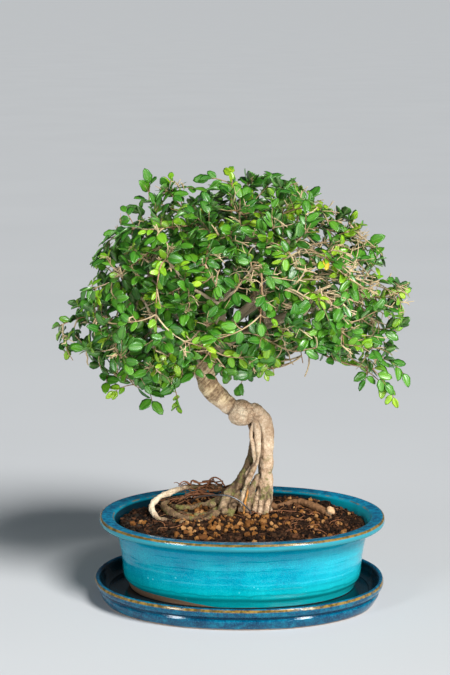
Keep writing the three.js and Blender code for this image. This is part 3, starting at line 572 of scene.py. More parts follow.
class Finish:
    """A procedural material under construction."""

    def __init__(self, name, **constants):
        self.material = bpy.data.materials.new(name)
        self.material.use_nodes = True
        self.tree = self.material.node_tree
        self.surface = self.tree.nodes["Principled BSDF"]
        self.coordinates = self.node("TexCoord").outputs["Object"]
        for socket, value in constants.items():
            self.set(socket.replace("_", " "), value)

    def node(self, kind, settings=None, sockets=None):
        """A shader node of this type, with its settings first and then its sockets' values or links."""
        node = self.tree.nodes.new("ShaderNode" + kind)
        for name, value in (settings or {}).items():
            if name == "stops":
                ramp = node.color_ramp
                while len(ramp.elements) < len(value):
                    ramp.elements.new(0.5)
                for element, (position, colour) in zip(ramp.elements, value):
                    element.position, element.color = position, (*colour, 1)
            else:
                setattr(node, name, value)
        for name, value in (sockets or {}).items():
            self.plug(node.inputs[name], value)
        return node

    def signal(self, kind, settings, sockets, output=0):
        """One output of a new node, as a number that can be reckoned with."""
        return Signal(self, self.node(kind, settings, sockets).outputs[output])

    def plug(self, socket, value):
        """Links a socket, or sets its value."""
        if isinstance(value, Signal):
            value = value.socket
        if isinstance(value, bpy.types.NodeSocket):
            self.tree.links.new(value, socket)
        elif isinstance(value, tuple) and len(value) == 3 and socket.type == "RGBA":
            socket.default_value = (*value, 1)
        else:
            socket.default_value = value

    def set(self, socket, value):
        """Links or sets one of the shader's own sockets."""
        self.plug(self.surface.inputs[socket], value)

    def layer(self, name):
        """A number that the mesh holds at each of its points."""
        return self.signal("Attribute", {"attribute_name": name}, None, "Fac")

    def place(self, axis):
        """Place along an axis, in millimetres."""
        return self.signal("SeparateXYZ", None, {"Vector": self.coordinates}, axis) * 1000.0

    def level(self):
        """Place along Z, counted from the source's zero."""
        return self.place("Z") + GROUND

    def stretched(self, scale, lean=0.0):
        """Object coordinates turned by the lean about Y, then scaled unevenly."""
        leaning = self.node("Mapping", None, {"Vector": self.coordinates, "Rotation": (0, lean, 0)})
        sockets = {"Vector": leaning.outputs["Vector"], "Scale": scale}
        return self.node("Mapping", None, sockets).outputs["Vector"]

    def cloud(self, size, detail=3.0, rough=0.55, vector=None):
        """Noise from 0 to 1 with features of about this many millimetres."""
        sockets = {"Vector": vector or self.coordinates, "Scale": 1000.0 / size, "Detail": detail,
                   "Roughness": rough}
        return self.signal("TexNoise", {"normalize": True}, sockets, "Fac")

    def cells(self, size, feature="F1", output="Distance"):
        """Distance from the nearest of scattered points, for spots, flakes and cracks of this many mm."""
        sockets = {"Vector": self.coordinates, "Scale": 1000.0 / size}
        return self.signal("TexVoronoi", {"feature": feature}, sockets, output)

    def mix(self, share, low, high):
        """A colour between two others."""
        return self.node("Mix", {"data_type": "RGBA"}, {0: share, 6: low, 7: high}).outputs[2]

    def ramp(self, share, *stops):
        """A colour for each value of a number, blended between the stops."""
        return self.node("ValToRGB", {"stops": stops}, {"Fac": share}).outputs["Color"]

    def done(self, colour, roughness, height=None, depth=0.0, strength=1.0):
        """The finished material: its colour, roughness, and relief of depth mm from a height of 0 to 1."""
        self.set("Base Color", colour)
        self.set("Roughness", roughness)
        if height:
            sockets = {"Height": height, "Distance": depth * MM, "Strength": strength}
            self.set("Normal", self.node("Bump", None, sockets).outputs["Normal"])
        return self.material


def pot_glaze():
    """Turquoise glaze: finely crackled, deep blue on the rim, greener towards the foot with pale dots, brown
    where it breaks over the edges, and bare clay below it, higher up on the left. Painted shade darkens the
    wall under the lip and makes the inside wall near black, and painted light makes the right side lighter,
    inside too."""
    f = Finish("turquoise_glaze", IOR=1.45, Specular_IOR_Level=0.45)
    along, level, across = f.layer("along"), f.level(), f.place("X")
    broad, middle = f.cloud(30, 3, 0.5), f.cloud(7, 4, 0.6)
    streaks = f.cloud(5, 3, 0.6, f.stretched((1.0, 1.0, 0.18)))
    specks = f.cells(1.3).over(0.5, 0.15)
    body = f.ramp(
        broad * 0.5 + middle * 0.25 + streaks * 0.25,
        (0.32, (0.0, 0.19, 0.3)), (0.46, (0.0, 0.29, 0.4)), (0.56, (0.002, 0.37, 0.46)),
        (0.7, (0.01, 0.47, 0.54)),
    )
    crackle = f.cells(1.9, "DISTANCE_TO_EDGE").over(0.13, 0.02)
    body = f.mix(crackle * (middle.over(0.3, 0.7) * 0.5 + 0.12), body, (0.0, 0.11, 0.24))
    body = f.mix(specks * 0.28, body, (0.04, 0.62, 0.68))
    # Painted light: the wall turns lighter and whiter towards the right, where the light falls.
    body = f.mix(across.over(20, 108) * 0.36, body, (0.03, 0.58, 0.7))
    # Painted shade: the wall under the overhanging lip is darkened to deep blue, its edge frayed by streaks.
    painted_shade_under_lip = (level + (streaks - 0.5) * 14.0).over(50, 66)
    body = f.mix(painted_shade_under_lip * 0.6, body, (0.0, 0.15, 0.26))
    low = (level + (broad - 0.5) * 12.0).over(38, 16)
    body = f.mix(low * 0.55, body, (0.0, 0.4, 0.38))
    dots = f.cells(8).over(0.15, 0.09) * f.cloud(26, 2).over(0.45, 0.6) * level.near(28, 18)
    body = f.mix(dots * 0.65, body, (0.16, 0.72, 0.78))
    foot_line = (level + f.cloud(18, 2) * 7.0).near(24.5, 1.3)
    body = f.mix(foot_line * 0.45, body, (0.0, 0.14, 0.16))

    rim_edge, inner_edge = mark(POT_PROFILE, RIM_EDGE), mark(POT_PROFILE, RIM_INNER_EDGE)
    lip = mark(POT_PROFILE, LIP_UNDERSIDE)
    ragged = (middle - 0.5) * 2.4
    body = f.mix((along + ragged).near((lip + rim_edge) / 2, 4.4) * 0.7, body, (0.03, 0.24, 0.27))
    top = (along + ragged * 0.5).near((rim_edge + inner_edge) / 2, 8.8)
    rim = f.mix((streaks * 0.5 + middle * 0.5).over(0.4, 0.62), (0.0, 0.08, 0.18), (0.0, 0.21, 0.36))
    body = f.mix(top * 0.95, body, rim)
    # Painted shade: the inside wall is near black, and painted light turns it teal towards the right.
    inside = along.over(inner_edge + 1.0, inner_edge + 3.5)
    body = f.mix(inside, body, f.mix(across.over(60, 122), (0.0, 0.018, 0.03), (0.0, 0.24, 0.3)))
    golden = f.mix(f.cloud(6, 3).over(0.35, 0.65), (0.085, 0.055, 0.01), (0.24, 0.15, 0.035))
    edge = (along + ragged * 0.3).near(rim_edge + 0.5, 2.1) * (f.cloud(16, 3).over(0.25, 0.42) * 0.4 + 0.6)
    inner = (along + ragged * 0.35).near(inner_edge, 1.2) * f.cloud(12, 3).over(0.4, 0.6)
    body = f.mix(edge.math("MAXIMUM", inner * 0.7), body, golden)

    clay_level = 7.6 + across.over(-10, -88) * 6.4 + (f.cloud(20, 2) - 0.5) * 2.0
    outside = along.over(rim_edge, rim_edge - 2)
    bare = (clay_level - level).over(-0.25, 0.35) * outside
    clay = f.mix(f.cloud(2.2, 3), (0.17, 0.09, 0.05), (0.33, 0.2, 0.12))
    waver = level + (broad - 0.5) * 5.0
    rings = waver.near(30, 3.4) + waver.near(48.5, 2.8) + waver.near(58.5, 2.4)
    relief = rings * f.cloud(34, 2).over(0.35, 0.6) * outside * 0.6 + f.cloud(6, 3) * 0.3 + specks * 0.06
    return f.done(f.mix(bare, body, clay), bare * 0.6 + middle * 0.06 + 0.11, relief, 0.6, 0.6)


def saucer_glaze():
    """Deep blue-green glaze with a brown lip, a dark line in its waist, a well painted near black as shade
    under the pot, and a bare clay edge where it meets the table."""
    f = Finish("saucer_glaze", IOR=1.42)
    along = f.layer("along")
    broad, middle = f.cloud(22, 4, 0.6), f.cloud(5, 4, 0.65)
    streaks = f.cloud(4, 3, 0.6, f.stretched((0.5, 0.5, 1.0)))
    specks = f.cells(1.4).over(0.5, 0.15)
    body = f.ramp(
        broad * 0.35 + middle * 0.4 + streaks * 0.25,
        (0.36, (0.0, 0.022, 0.06)), (0.48, (0.0, 0.055, 0.12)), (0.57, (0.0, 0.11, 0.19)),
        (0.7, (0.002, 0.2, 0.28)),
    )
    body = f.mix(specks * 0.22, body, (0.01, 0.4, 0.52))
    lip, waist = mark(SAUCER_PROFILE, SAUCER_EDGE), mark(SAUCER_PROFILE, SAUCER_WAIST)
    ragged = (middle - 0.5) * 2.2
    body = f.mix((along + ragged * 0.5).near(waist, 1.7) * 0.85, body, (0.0, 0.02, 0.05))
    # Painted shade: the well inside, under the pot, is painted near black.
    well = along.over(lip + 5.0, lip + 8)
    body = f.mix(well * 0.94, body, (0.001, 0.012, 0.018))
    golden = f.mix(f.cloud(4, 3).over(0.35, 0.65), (0.085, 0.055, 0.01), (0.26, 0.16, 0.035))
    edge = (along + ragged * 0.4).near(lip + 0.9, 1.9) * (f.cloud(13, 3).over(0.28, 0.44) * 0.6 + 0.4)
    body = f.mix(edge, body, golden)
    foot = mark(SAUCER_PROFILE, SAUCER_FOOT)
    bare = (along + (f.cloud(18, 2) - 0.5) * 1.6).over(foot + 1.2, foot + 0.5)
    clay = f.mix(f.cloud(2.2, 3), (0.34, 0.21, 0.13), (0.55, 0.38, 0.26))
    relief = f.cloud(5, 3) * 0.6 + specks * 0.12
    return f.done(f.mix(bare, body, clay), bare * 0.6 + middle * 0.05 + 0.09, relief, 0.3, 0.5)


def bark():
    """Pale warm bark, mottled pinkish and cream with fine dark pores, rings on the upper trunk, a net of
    faint cracks on the knob, browner and mossy on the lower strands and roots, with one orange-brown dead
    root and one red-brown live one, and painted shade darkening the creases where two of them meet."""
    f = Finish("bark", IOR=1.35)
    level, tone = f.level(), f.layer("tone")
    broad, fine = f.cloud(13, 4, 0.6, f.stretched((1.0, 1.0, 0.45))), f.cloud(1.7, 4, 0.7)
    flecks = f.cloud(4.2, 4, 0.75)
    colour = f.ramp(
        broad * 0.4 + flecks * 0.35 + fine * 0.25,
        (0.37, (0.23, 0.135, 0.07)), (0.45, (0.47, 0.31, 0.19)), (0.52, (0.63, 0.46, 0.31)),
        (0.61, (0.84, 0.7, 0.5)),
    )
    rings = f.ramp(
        f.cloud(5, 3, 0.6, f.stretched((0.35, 0.35, 1.7), 0.8)) * 0.65 + flecks * 0.35,
        (0.4, (0.13, 0.07, 0.03)), (0.49, (0.42, 0.29, 0.15)), (0.58, (0.76, 0.6, 0.36)),
    )
    upper = level.over(185, 199) * tone.over(0.7, 0.62)
    colour = f.mix(upper * 0.8, colour, rings)
    brown = f.ramp(
        broad * 0.35 + flecks * 0.3 + fine * 0.35,
        (0.38, (0.02, 0.011, 0.005)), (0.5, (0.11, 0.062, 0.028)), (0.62, (0.34, 0.215, 0.11)),
    )
    colour = f.mix(tone.over(0.56, 0.36) * 0.92, colour, brown)
    low = (level + (broad - 0.5) * 36.0).over(128, 88)
    colour = f.mix(low * flecks.over(0.42, 0.6) * tone.over(1.0, 0.8) * 0.88, colour, brown)
    cream = f.mix(flecks.over(0.35, 0.6), (0.48, 0.34, 0.21), (0.82, 0.69, 0.5))
    colour = f.mix(tone.over(0.75, 1.0), colour, cream)
    colour = f.mix(tone.over(1.2, 1.4), colour, f.mix(fine, (0.32, 0.11, 0.025), (0.72, 0.34, 0.08)))
    colour = f.mix(tone.over(0.16, 0.06), colour, f.mix(fine, (0.03, 0.014, 0.006), (0.34, 0.165, 0.07)))
    pores = f.cells(2.6).over(0.19, 0.07) * f.cloud(9, 2).over(0.4, 0.6)
    net = f.cells(5.2, "DISTANCE_TO_EDGE").over(0.09, 0.0) * f.layer("knob")
    colour = f.mix(net * 0.6 + pores * 0.6, colour, (0.14, 0.085, 0.045))
    # Painted shade: the creases where two roots meet are darkened.
    colour = f.mix(f.layer("crease") * 0.85, colour, (0.045, 0.025, 0.012))
    mossy = level.over(150, 118) * tone.over(0.8, 0.6) * tone.over(0.2, 0.3)
    mossy = mossy * f.cloud(9, 4, 0.65).over(0.5, 0.62)
    colour = f.mix(mossy * 0.75, colour, f.mix(fine, (0.06, 0.07, 0.015), (0.24, 0.23, 0.06)))
    return f.done(colour, fine * 0.2 + 0.66, fine * 0.4 + flecks * 0.6 - net * 0.25, 1.2, 0.9)


def twig_bark():
    """Thin bark by the layer "age": red-brown at 0 for young twigs, pale tan at 1 for old bare ones, and the
    rusty red of feeder roots below 0."""
    f = Finish("twig_bark", IOR=1.45)
    age, grain = f.layer("age"), f.cloud(2.4, 3)
    young = f.mix(grain, (0.13, 0.045, 0.018), (0.36, 0.16, 0.06))
    old = f.mix(grain, (0.42, 0.3, 0.16), (0.82, 0.67, 0.41))
    red = f.mix(grain, (0.12, 0.035, 0.014), (0.4, 0.16, 0.065))
    colour = f.mix(age.over(-0.2, -0.6), f.mix(age, young, old), red)
    return f.done(colour, grain * 0.2 + 0.55, grain, 0.2, 0.5)


def leaf_green():
    """Leaves: a glossy mid-green blade with a pale midrib and side veins, bright yellow-green where it is
    young, yellowing at a few, and a paler grey-green underside."""
    f = Finish("leaf", IOR=1.5, Coat_Weight=0.35, Coat_Roughness=0.22)
    tint, side, across = f.layer("tint"), f.layer("under"), f.layer("across")
    mottle = f.cloud(7, 3)
    mature = f.ramp(
        tint * 0.8 + mottle * 0.3,
        (0.08, (0.016, 0.11, 0.008)), (0.3, (0.034, 0.175, 0.009)), (0.5, (0.07, 0.25, 0.01)),
        (0.75, (0.18, 0.41, 0.01)), (0.98, (0.32, 0.5, 0.014)),
    )
    blade = f.mix(tint.over(1.02, 1.12), mature, (0.58, 0.42, 0.025))
    slant = across.math("ABSOLUTE") * -0.42 + f.layer("lengthwise")
    veins = (slant * 9.0).math("FRACT").near(0.5, 0.16)
    midrib = across.near(0.0, 0.13)
    blade = f.mix(midrib * 0.32 + veins * 0.12, blade, (0.2, 0.36, 0.07))
    under = f.mix(midrib * 0.5, f.mix(0.55, blade, (0.17, 0.27, 0.12)), (0.36, 0.42, 0.2))
    relief = (1.0 - midrib) * 0.6 + (1.0 - veins) * 0.3
    return f.done(f.mix(side, blade, under), side * 0.25 + mottle * 0.12 + 0.26, relief, 0.25, 0.6)


def soil_mix():
    """Humus: brown crumbs, near black where its relief is lowest, greyer on the left."""
    f = Finish("soil", IOR=1.35, Specular_IOR_Level=0.2)
    broad, crumb, fine = f.cloud(22, 3), f.cells(2.6, output="Color"), f.cloud(1.3, 4, 0.7)
    share = broad * 0.3 + crumb * 0.3 + fine * 0.4
    brown = f.ramp(
        share, (0.32, (0.005, 0.003, 0.002)), (0.48, (0.02, 0.01, 0.005)), (0.62, (0.065, 0.03, 0.014)),
        (0.78, (0.15, 0.075, 0.038)),
    )
    grey = f.ramp(
        share, (0.34, (0.006, 0.005, 0.004)), (0.54, (0.03, 0.023, 0.017)), (0.78, (0.13, 0.105, 0.08)),
    )
    colour = f.mix(f.place("X").over(-40, -90) * 0.8, brown, grey)
    return f.done(colour, fine * 0.2 + 0.72, crumb * 0.5 + fine * 0.5, 1.2, 0.9)


def grain_stone():
    """Grains in the soil, by the layer "tint": black and brown bark up to a half, orange-tan clay above."""
    f = Finish("soil_grain", IOR=1.35, Specular_IOR_Level=0.2)
    fine = f.cloud(1.1, 4, 0.7)
    colour = f.ramp(
        f.layer("tint") * 0.8 + fine * 0.2,
        (0.12, (0.006, 0.004, 0.003)), (0.32, (0.024, 0.011, 0.006)), (0.48, (0.11, 0.045, 0.02)),
        (0.57, (0.12, 0.045, 0.012)), (0.73, (0.25, 0.102, 0.024)), (0.9, (0.4, 0.21, 0.08)),
    )
    return f.done(colour, fine * 0.2 + 0.68, fine, 0.6, 0.9)


def tie_metal():
    """Dark anodised wire, dull with handling."""
    f = Finish("tie_wire", Metallic=0.85)
    wear = f.cloud(5, 3)
    return f.done(f.mix(wear, (0.08, 0.083, 0.09), (0.26, 0.26, 0.27)), wear * 0.25 + 0.28)


def screen_plastic():
    """Matt black plastic mesh."""
    f = Finish("screen_plastic")
    grain = f.cloud(0.8, 2)
    return f.done(f.mix(grain, (0.008, 0.008, 0.008), (0.022, 0.022, 0.022)), grain * 0.2 + 0.55)


def pale_floor():
    """The floor's faintly clouded pale grey."""
    f = Finish("studio_floor")
    return f.done(f.mix(f.cloud(400, 2), (0.54, 0.55, 0.56), (0.58, 0.59, 0.6)), 0.85)


# Pottery pieces


def make_pot():
    """The pot, centred on the frame's origin."""
    mesh = pottery(POT_PROFILE, POT_RIPPLE).build("pot_body")
    piece("pot_body", mesh, pot_glaze(), ["pot"])


def make_saucer():
    """The saucer, turned a little and set a little forward under the pot."""
    mesh = pottery(SAUCER_PROFILE, SAUCER_RIPPLE)
    c, s = math.cos(SAUCER_TURN), math.sin(SAUCER_TURN)
    x, y, z = mesh.points[0].T
    mesh.points[0] = np.stack([x * c - y * s + SAUCER_PLACE[0], x * s + y * c + SAUCER_PLACE[1], z], axis=1)
    piece("saucer_dish", mesh.build("saucer_dish"), saucer_glaze(), ["saucer"])


# Soil pieces


def soil_height(x, y):
    """The source's low mound with soft waves, a dome of power 2.4 plus crossed sines, heaped up a little
    where the fine roots grow behind the looped one and under the far root."""
    reach = np.hypot((x + 8) / 118, (y - 4) / 86)
    waves = np.sin(x / 11 + 1) * np.cos(y / 9) + 0.7 * np.sin(x / 5.3 - y / 6.1)
    heaps = sum(height * hump(x, y, *place) for *place, height in SOIL_HEAPS)
    return SOIL_EDGE_HEIGHT + SOIL_MOUND * np.maximum(0, 1 - reach**2.4) + 0.6 * waves + heaps


def crumbs(x, y):
    """Relief of the crumbly surface at three sizes."""
    flat = np.stack([x, y, np.zeros_like(x)], axis=-1)
    return 0.9 * noise(flat, 9, 31) + 0.9 * np.abs(noise(flat, 3.4, 32)) + 0.5 * noise(flat, 1.5, 33)


def make_soil():
    """The soil: a disc of rings up to the wall of the pot, crumbly on top, and closed down to the floor."""
    inset, skirt = np.array(SOIL_SKIRT).T
    half = np.concatenate([SOIL_EDGE - inset, np.linspace(SOIL_EDGE, 0.4, SOIL_RINGS)])
    x, y = oval(half[:, None], around(SOIL_AROUND)[None])
    z = soil_height(x, y) + crumbs(x, y)
    z[:len(skirt)] = skirt[:, None]
    z[len(skirt)] -= SOIL_EDGE_SINK
    mesh = Mesh()
    mesh.grid(np.stack([x, y, z], axis=-1), wrap=True, caps=True)
    piece("soil_bed", mesh.build("soil_bed"), soil_mix(), ["soil"])


def pebble(sides=6, rings=5):
    """Points, quads and triangles of a ball of few faces: rings between two poles."""
    polar = np.linspace(0, math.pi, rings)[1:-1, None]
    turn = around(sides)
    ring = np.stack([
        np.sin(polar) * np.cos(turn), np.sin(polar) * np.sin(turn),
        np.broadcast_to(np.cos(polar), (len(polar), sides)),
    ], axis=-1).reshape(-1, 3)
    points = np.vstack([ring, [0, 0, 1], [0, 0, -1]])
    number = np.arange(len(polar) * sides).reshape(len(polar), sides)
    after = np.roll(number, -1, axis=1)
    quads = np.stack([number[:-1], number[1:], after[1:], after[:-1]], axis=-1).reshape(-1, 4)
    top = np.stack([number[0], after[0], np.full(sides, len(ring))], axis=-1)
    bottom = np.stack([after[-1], number[-1], np.full(sides, len(ring) + 1)], axis=-1)
    return points, quads, np.vstack([top, bottom])


def strew(mesh, rng, x, y, size, stretch, tint):
    """Angular crumbs at places on the soil: dented balls of few faces, stretched and turned at random, bedded
    a little below their middle. Long ones lie flat."""
    points, quads, triangles = pebble()
    count = len(x)
    frames = np.linalg.qr(rng.normal(size=(count, 3, 3)))[0]
    dents = rng.uniform(0.62, 1.2, (count, len(points), 1))
    long_ones = stretch[:, :1, None] > 1.5
    shape = (points * dents * stretch[:, None]) @ np.where(long_ones, frames * [1, 1, 0.6], frames)
    centre = np.stack([x, y, soil_height(x, y) + crumbs(x, y) + size * 0.25], axis=-1)
    mesh.add(shape * size[:, None, None] + centre[:, None], copies(quads, triangles, len(points), count),
             tint=np.repeat(tint, len(points)))


def make_grains():
    """What lies loose on the soil: coarse orange-tan clay in front of the trunk and behind the looped root,
    bark chips and splinters, redder on the right, and dark crumbs everywhere."""
    rng = np.random.default_rng(GRAIN_SEED)
    count = GRAIN_COUNT
    x, y = oval(GRAIN_EDGE, rng.uniform(0, 2 * math.pi, count))
    reach = np.sqrt(rng.uniform(0.0, 0.99, count))
    x, y = x * reach, y * reach
    clay_chance = sum(share * hump(x, y, *place) for *place, share in CLAY_HEAPS)
    clay = rng.uniform(size=count) < clay_chance + CLAY_STRAYS
    chip = ~clay & (rng.uniform(size=count) < CHIP_SHARE)
    size = np.where(clay, rng.uniform(1.2, 1.95, count) ** 2, rng.uniform(0.8, 2.2, count))
    stretch = rng.uniform(0.75, 1.2, (count, 3))
    stretch[chip] = rng.uniform([1.6, 0.8, 0.35], [2.7, 1.3, 0.65], (chip.sum(), 3))
    size = np.where(chip, rng.uniform(0.9, 2.1, count), size)
    dark = rng.uniform(0.0, 0.52, count) * np.where(x > 30, 1.0, 0.85)
    tint = np.where(clay, rng.uniform(0.55, 1.0, count), dark)
    mesh = Mesh()
    strew(mesh, rng, x, y, size, stretch, tint)
    built = mesh.build("soil_grains", smooth=False)
    turn_outwards(built)
    piece("soil_grains", built, grain_stone())


def turn_outwards(mesh):
    """Recalculates normals so that every closed shell faces outwards."""
    work = bmesh.new()
    work.from_mesh(mesh)
    bmesh.ops.recalc_face_normals(work, faces=work.faces)
    work.to_mesh(mesh)
    work.free()


# Wood


def remeshed(mesh, name, voxel):
    """One skin round all the shells of a mesh, by voxels of this size, as a new Blender mesh."""
    obj = new_object(name + "_shells", mesh.build(name + "_shells"))
    modifier = obj.modifiers.new("skin", "REMESH")
    modifier.mode = "VOXEL"
    modifier.voxel_size = voxel * MM
    modifier.use_smooth_shade = True
    skin = bpy.data.meshes.new_from_object(obj.evaluated_get(bpy.context.evaluated_depsgraph_get()))
    skin.name = name
    bpy.data.objects.remove(obj)
    return skin


def read_points(mesh):
    """Vertices in the source's millimetres, and their normals."""
    points, normals = np.empty((2, len(mesh.vertices) * 3))
    mesh.vertices.foreach_get("co", points)
    mesh.vertices.foreach_get("normal", normals)
    return points.reshape(-1, 3) / MM + [0, 0, GROUND], normals.reshape(-1, 3)


def write_points(mesh, points):
    """Moves a mesh's vertices to these places, in the source's millimetres."""
    mesh.vertices.foreach_set("co", ((points - [0, 0, GROUND]) * MM).ravel())
    mesh.update()


def nearest_tone(points, paths):
    """For each point the tone at the nearest place of the centre lines, so that each root keeps its colour,
    and how close it lies to the crease between two of them, from 0 to 1."""
    best, second = np.full((2, len(points)), np.inf)
    tone, owner = np.zeros(len(points)), np.full(len(points), -9)
    for path, value, group in paths:
        own, here = np.full(len(points), np.inf), np.zeros(len(points))
        for place, at in zip(path[::2], value[::2]):
            distance = np.linalg.norm(points - place[:3], axis=1) - place[3]
            here = np.where(distance < own, at, here)
            own = np.minimum(own, distance)
        closer, same = own < best, owner == group
        second = np.where(closer & ~same, best, np.where(same | closer, second, np.minimum(second, own)))
        tone = np.where(closer, here, tone)
        owner = np.where(closer, group, owner)
        best = np.minimum(best, own)
    return tone, np.exp(-(((second - best) / 1.1) ** 2))


def root_path(name, points):
    """A centre line of the trunk, a strand or a root, with radii: bent and thickened by noise and slimmed."""
    path = through(points, 9 * len(points))
    path[:, :3] += (TRUNK_WANDER if name == "trunk" else ROOT_WANDER) * wander(path[:, :3], 9, 40)
    path[:, 3] *= 0.97 + 0.12 * noise(path[:, :3], 7, 44)
    if name == "trunk":
        for axis, middle, half, share in TRUNK_SWELLS:
            path[:, 3] *= 1 + share * np.exp(-(((path[:, axis] - middle) / half) ** 2))
    path[:, 0] += SHIFTED.get(name, 0)
    path[:, 3] *= SLIMMED.get(name, 1)
    return path


def wood_relief(points, near_knob):
    """Height of the bark: noise stretched along the stem, knotted on the lower wood, lumpy on the knob."""
    stretched = points * [1, 1, 0.5]
    low = 1 / (1 + np.exp((points[:, 2] - 150) / 12))
    relief = 0.45 * noise(stretched, 5, 50, 2) + 0.3 * np.abs(noise(stretched, 2.6, 53, 2)) - 0.15
    knots = 0.95 * np.abs(noise(points * [1, 1, 0.7], 4.2, 57)) + 0.75 * np.abs(noise(points, 2.2, 58)) - 0.45
    lumps = 0.8 * noise(points, 5.5, 55) + 0.4 * np.abs(noise(points, 2.4, 56)) - 0.2
    return relief + low * knots + near_knob * lumps


def make_trunk():
    """Trunk, strands and roots: tubes along their centre lines and lumps, skinned together, with bark relief
    and a crease where two of them meet, sunk into the skin and painted dark as shade."""
    shells, paths = Mesh(), []
    for group, (name, points) in enumerate({"trunk": TRUNK, **STRANDS, **SMALL_ROOTS}.items()):
        path = root_path(name, points)
        add_tube(shells, path[:, :3], path[:, 3], 20)
        tone = np.full(len(path), ROOT_TONES.get(name, PLAIN_TONE))
        if name == "loop":
            tone = np.interp(np.linspace(0, 1, len(path)), *LOOP_TONES)
        paths.append((path, tone, group))
    points, quads, triangles = pebble(24, 15)
    for number, (*middle, radius, tone) in enumerate(LUMPS):
        shells.add(points * radius * [1, 1, 0.97] + middle, [quads, triangles])
        paths.append((np.array([[*middle, radius]]), np.array([tone]), -1 if number == 0 else 0))
    skin = remeshed(shells, "trunk_and_roots", TRUNK_VOXEL)
    points, normals = read_points(skin)
    near_knob = np.exp(-((np.linalg.norm(points - KNOB_MIDDLE, axis=1) / KNOB_REACH) ** 4))
    tone, crease = nearest_tone(points, paths)
    crease *= 1 - near_knob * np.clip((points[:, 0] + 13) / 9, 0.3, 1)
    # The crease sinks the skin here, and the bark also paints it dark as shade.
    relief = wood_relief(points, near_knob) - crease
    write_points(skin, points + normals * relief[:, None])
    for layer, values in (("knob", near_knob), ("tone", tone), ("crease", crease)):
        write_layer(skin, layer, values)
    piece("trunk_and_roots", skin, bark(), ["trunk_roots_and_limbs"])


def make_limbs(sprays):
    """Main limbs and the side branches that carry the sprays, skinned together. Little of them shows among
    the leaves, so they keep the plain bark that the frame brings."""
    shells = Mesh()
    for points in LIMBS.values():
        path = through(points, 10 * len(points))
        path[:, :3] += LIMB_WANDER * wander(path[:, :3], 14, 60)
        add_tube(shells, path[:, :3], path[:, 3] * np.linspace(1, 0.72, len(path)), 12)
    t = np.linspace(0, 1, 20)
    for spray in sprays:
        path = bow(*spray["branch"], t)
        path[1:-1] += BRANCH_WANDER * wander(path[1:-1], 11, 70)
        add_tube(shells, path, BRANCH_RADIUS - BRANCH_TAPER * t, 10)
    skin = remeshed(shells, "limbs", LIMB_VOXEL)
    points, normals = read_points(skin)
    relief = 0.25 * noise(points, 4, 64, 2) + 0.2 * np.abs(noise(points, 1.9, 66))
    write_points(skin, points + normals * relief[:, None])
    piece("limbs", skin, bpy.data.materials["bark"], ["trunk_roots_and_limbs"])


def make_wire():
    """The wire hoop over the roots."""
    mesh = Mesh()
    add_tube(mesh, through(WIRE, 90), WIRE_RADIUS, 12)
    piece("root_tie", mesh.build("root_tie"), tie_metal(), ["tie_wire"])


def make_fine_roots(thin_bark):
    """Feeder roots: a tangle of red-brown ones over the soil behind the looped root, a few that stand up from
    it, one arched one, and hair-thin ones over the soil round the base."""
    rng = np.random.default_rng(FINE_ROOT_SEED)
    mesh = Mesh()
    t = np.linspace(0, 1, 12)

    def curl(start, heading, length, radius, bend, age, hug=None):
        """A thin tapered root that bends in three waves and may hug the soil at this height."""
        path = start + unit(heading) * length * t[:, None]
        for wave in (1, 2, 3):
            path = path + rng.normal(0, bend / wave, 3) * [1, 1, 0.5] * np.sin(math.pi * wave * t)[:, None]
        if hug is not None:
            path[:, 2] = soil_height(path[:, 0], path[:, 1]) + hug + 1.6 * np.sin(math.pi * t)
        add_tube(mesh, path, radius * (1.15 - 0.6 * t), 5, age=age)

    for _ in range(34):
        start = np.array([rng.uniform(-66, -8), rng.uniform(36, 54), 0.0])
        heading = [rng.choice([-1, 1]), rng.normal(0, 0.35), 0]
        curl(start, heading, rng.uniform(12, 30), rng.uniform(0.35, 0.9), 3.4, rng.uniform(-1.0, 0.1),
             rng.uniform(1.0, 7.0))
    for _ in range(24):
        start = np.array([rng.uniform(-56, -8), rng.uniform(40, 56), rng.uniform(88, 96)])
        heading = [rng.choice([-1, 1]), rng.normal(0, 0.3), rng.normal(0, 0.12)]
        curl(start, heading, rng.uniform(12, 28), rng.uniform(0.4, 1.3), 3.6, rng.uniform(-1.0, -0.1))
    for _ in range(9):
        start = np.array([rng.uniform(-60, -14), rng.uniform(36, 50), rng.uniform(86, 93)])
        heading = [rng.normal(0, 0.6), rng.normal(0, 0.4), 1.0]
        curl(start, heading, rng.uniform(5, 11), rng.uniform(0.35, 0.55), 2.0, -0.3)
    add_tube(mesh, through(ARCHED_ROOT, 16), 0.8, 6, age=-0.9)
    for _ in range(70):
        start = np.array([rng.uniform(-80, 100), rng.uniform(-40, 40), 0.0])
        turn = rng.uniform(0, 2 * math.pi)
        heading = [math.cos(turn), math.sin(turn), 0]
        curl(start, heading, rng.uniform(7, 22), rng.uniform(0.25, 0.5), 2.4, rng.uniform(-0.8, 0.1), 1.2)
    piece("fine_roots", mesh.build("fine_roots"), thin_bark)


# Crown


def reach_at(x, z):
    """The crown's reach seen from the front, in a direction from its centre, between the listed angles."""
    step = (np.arctan2(z, x) / (2 * math.pi) + 1) % 1 * len(CROWN_REACH)
    return np.interp(step, np.arange(len(CROWN_REACH) + 1), CROWN_REACH + CROWN_REACH[:1])


def from_front(points):
    """Where the photograph's view sees places, moved along its lines of sight to the plane y = 0: x and z."""
    eye = np.array(VIEW_POINT) + VIEW_DISTANCE * np.array([0, -math.cos(VIEW_PITCH), math.sin(VIEW_PITCH)])
    x, y, z = np.asarray(points, float).T
    nearer = -eye[1] / (y - eye[1])
    return eye[0] + (x - eye[0]) * nearer, eye[2] + (z - eye[2]) * nearer


def above_edge(point):
    """How far a place lies above the crown's lower edge, as the photograph's view sees both."""
    x, z = from_front(point)
    return z - np.interp(x, *zip(*LOWER_EDGE))


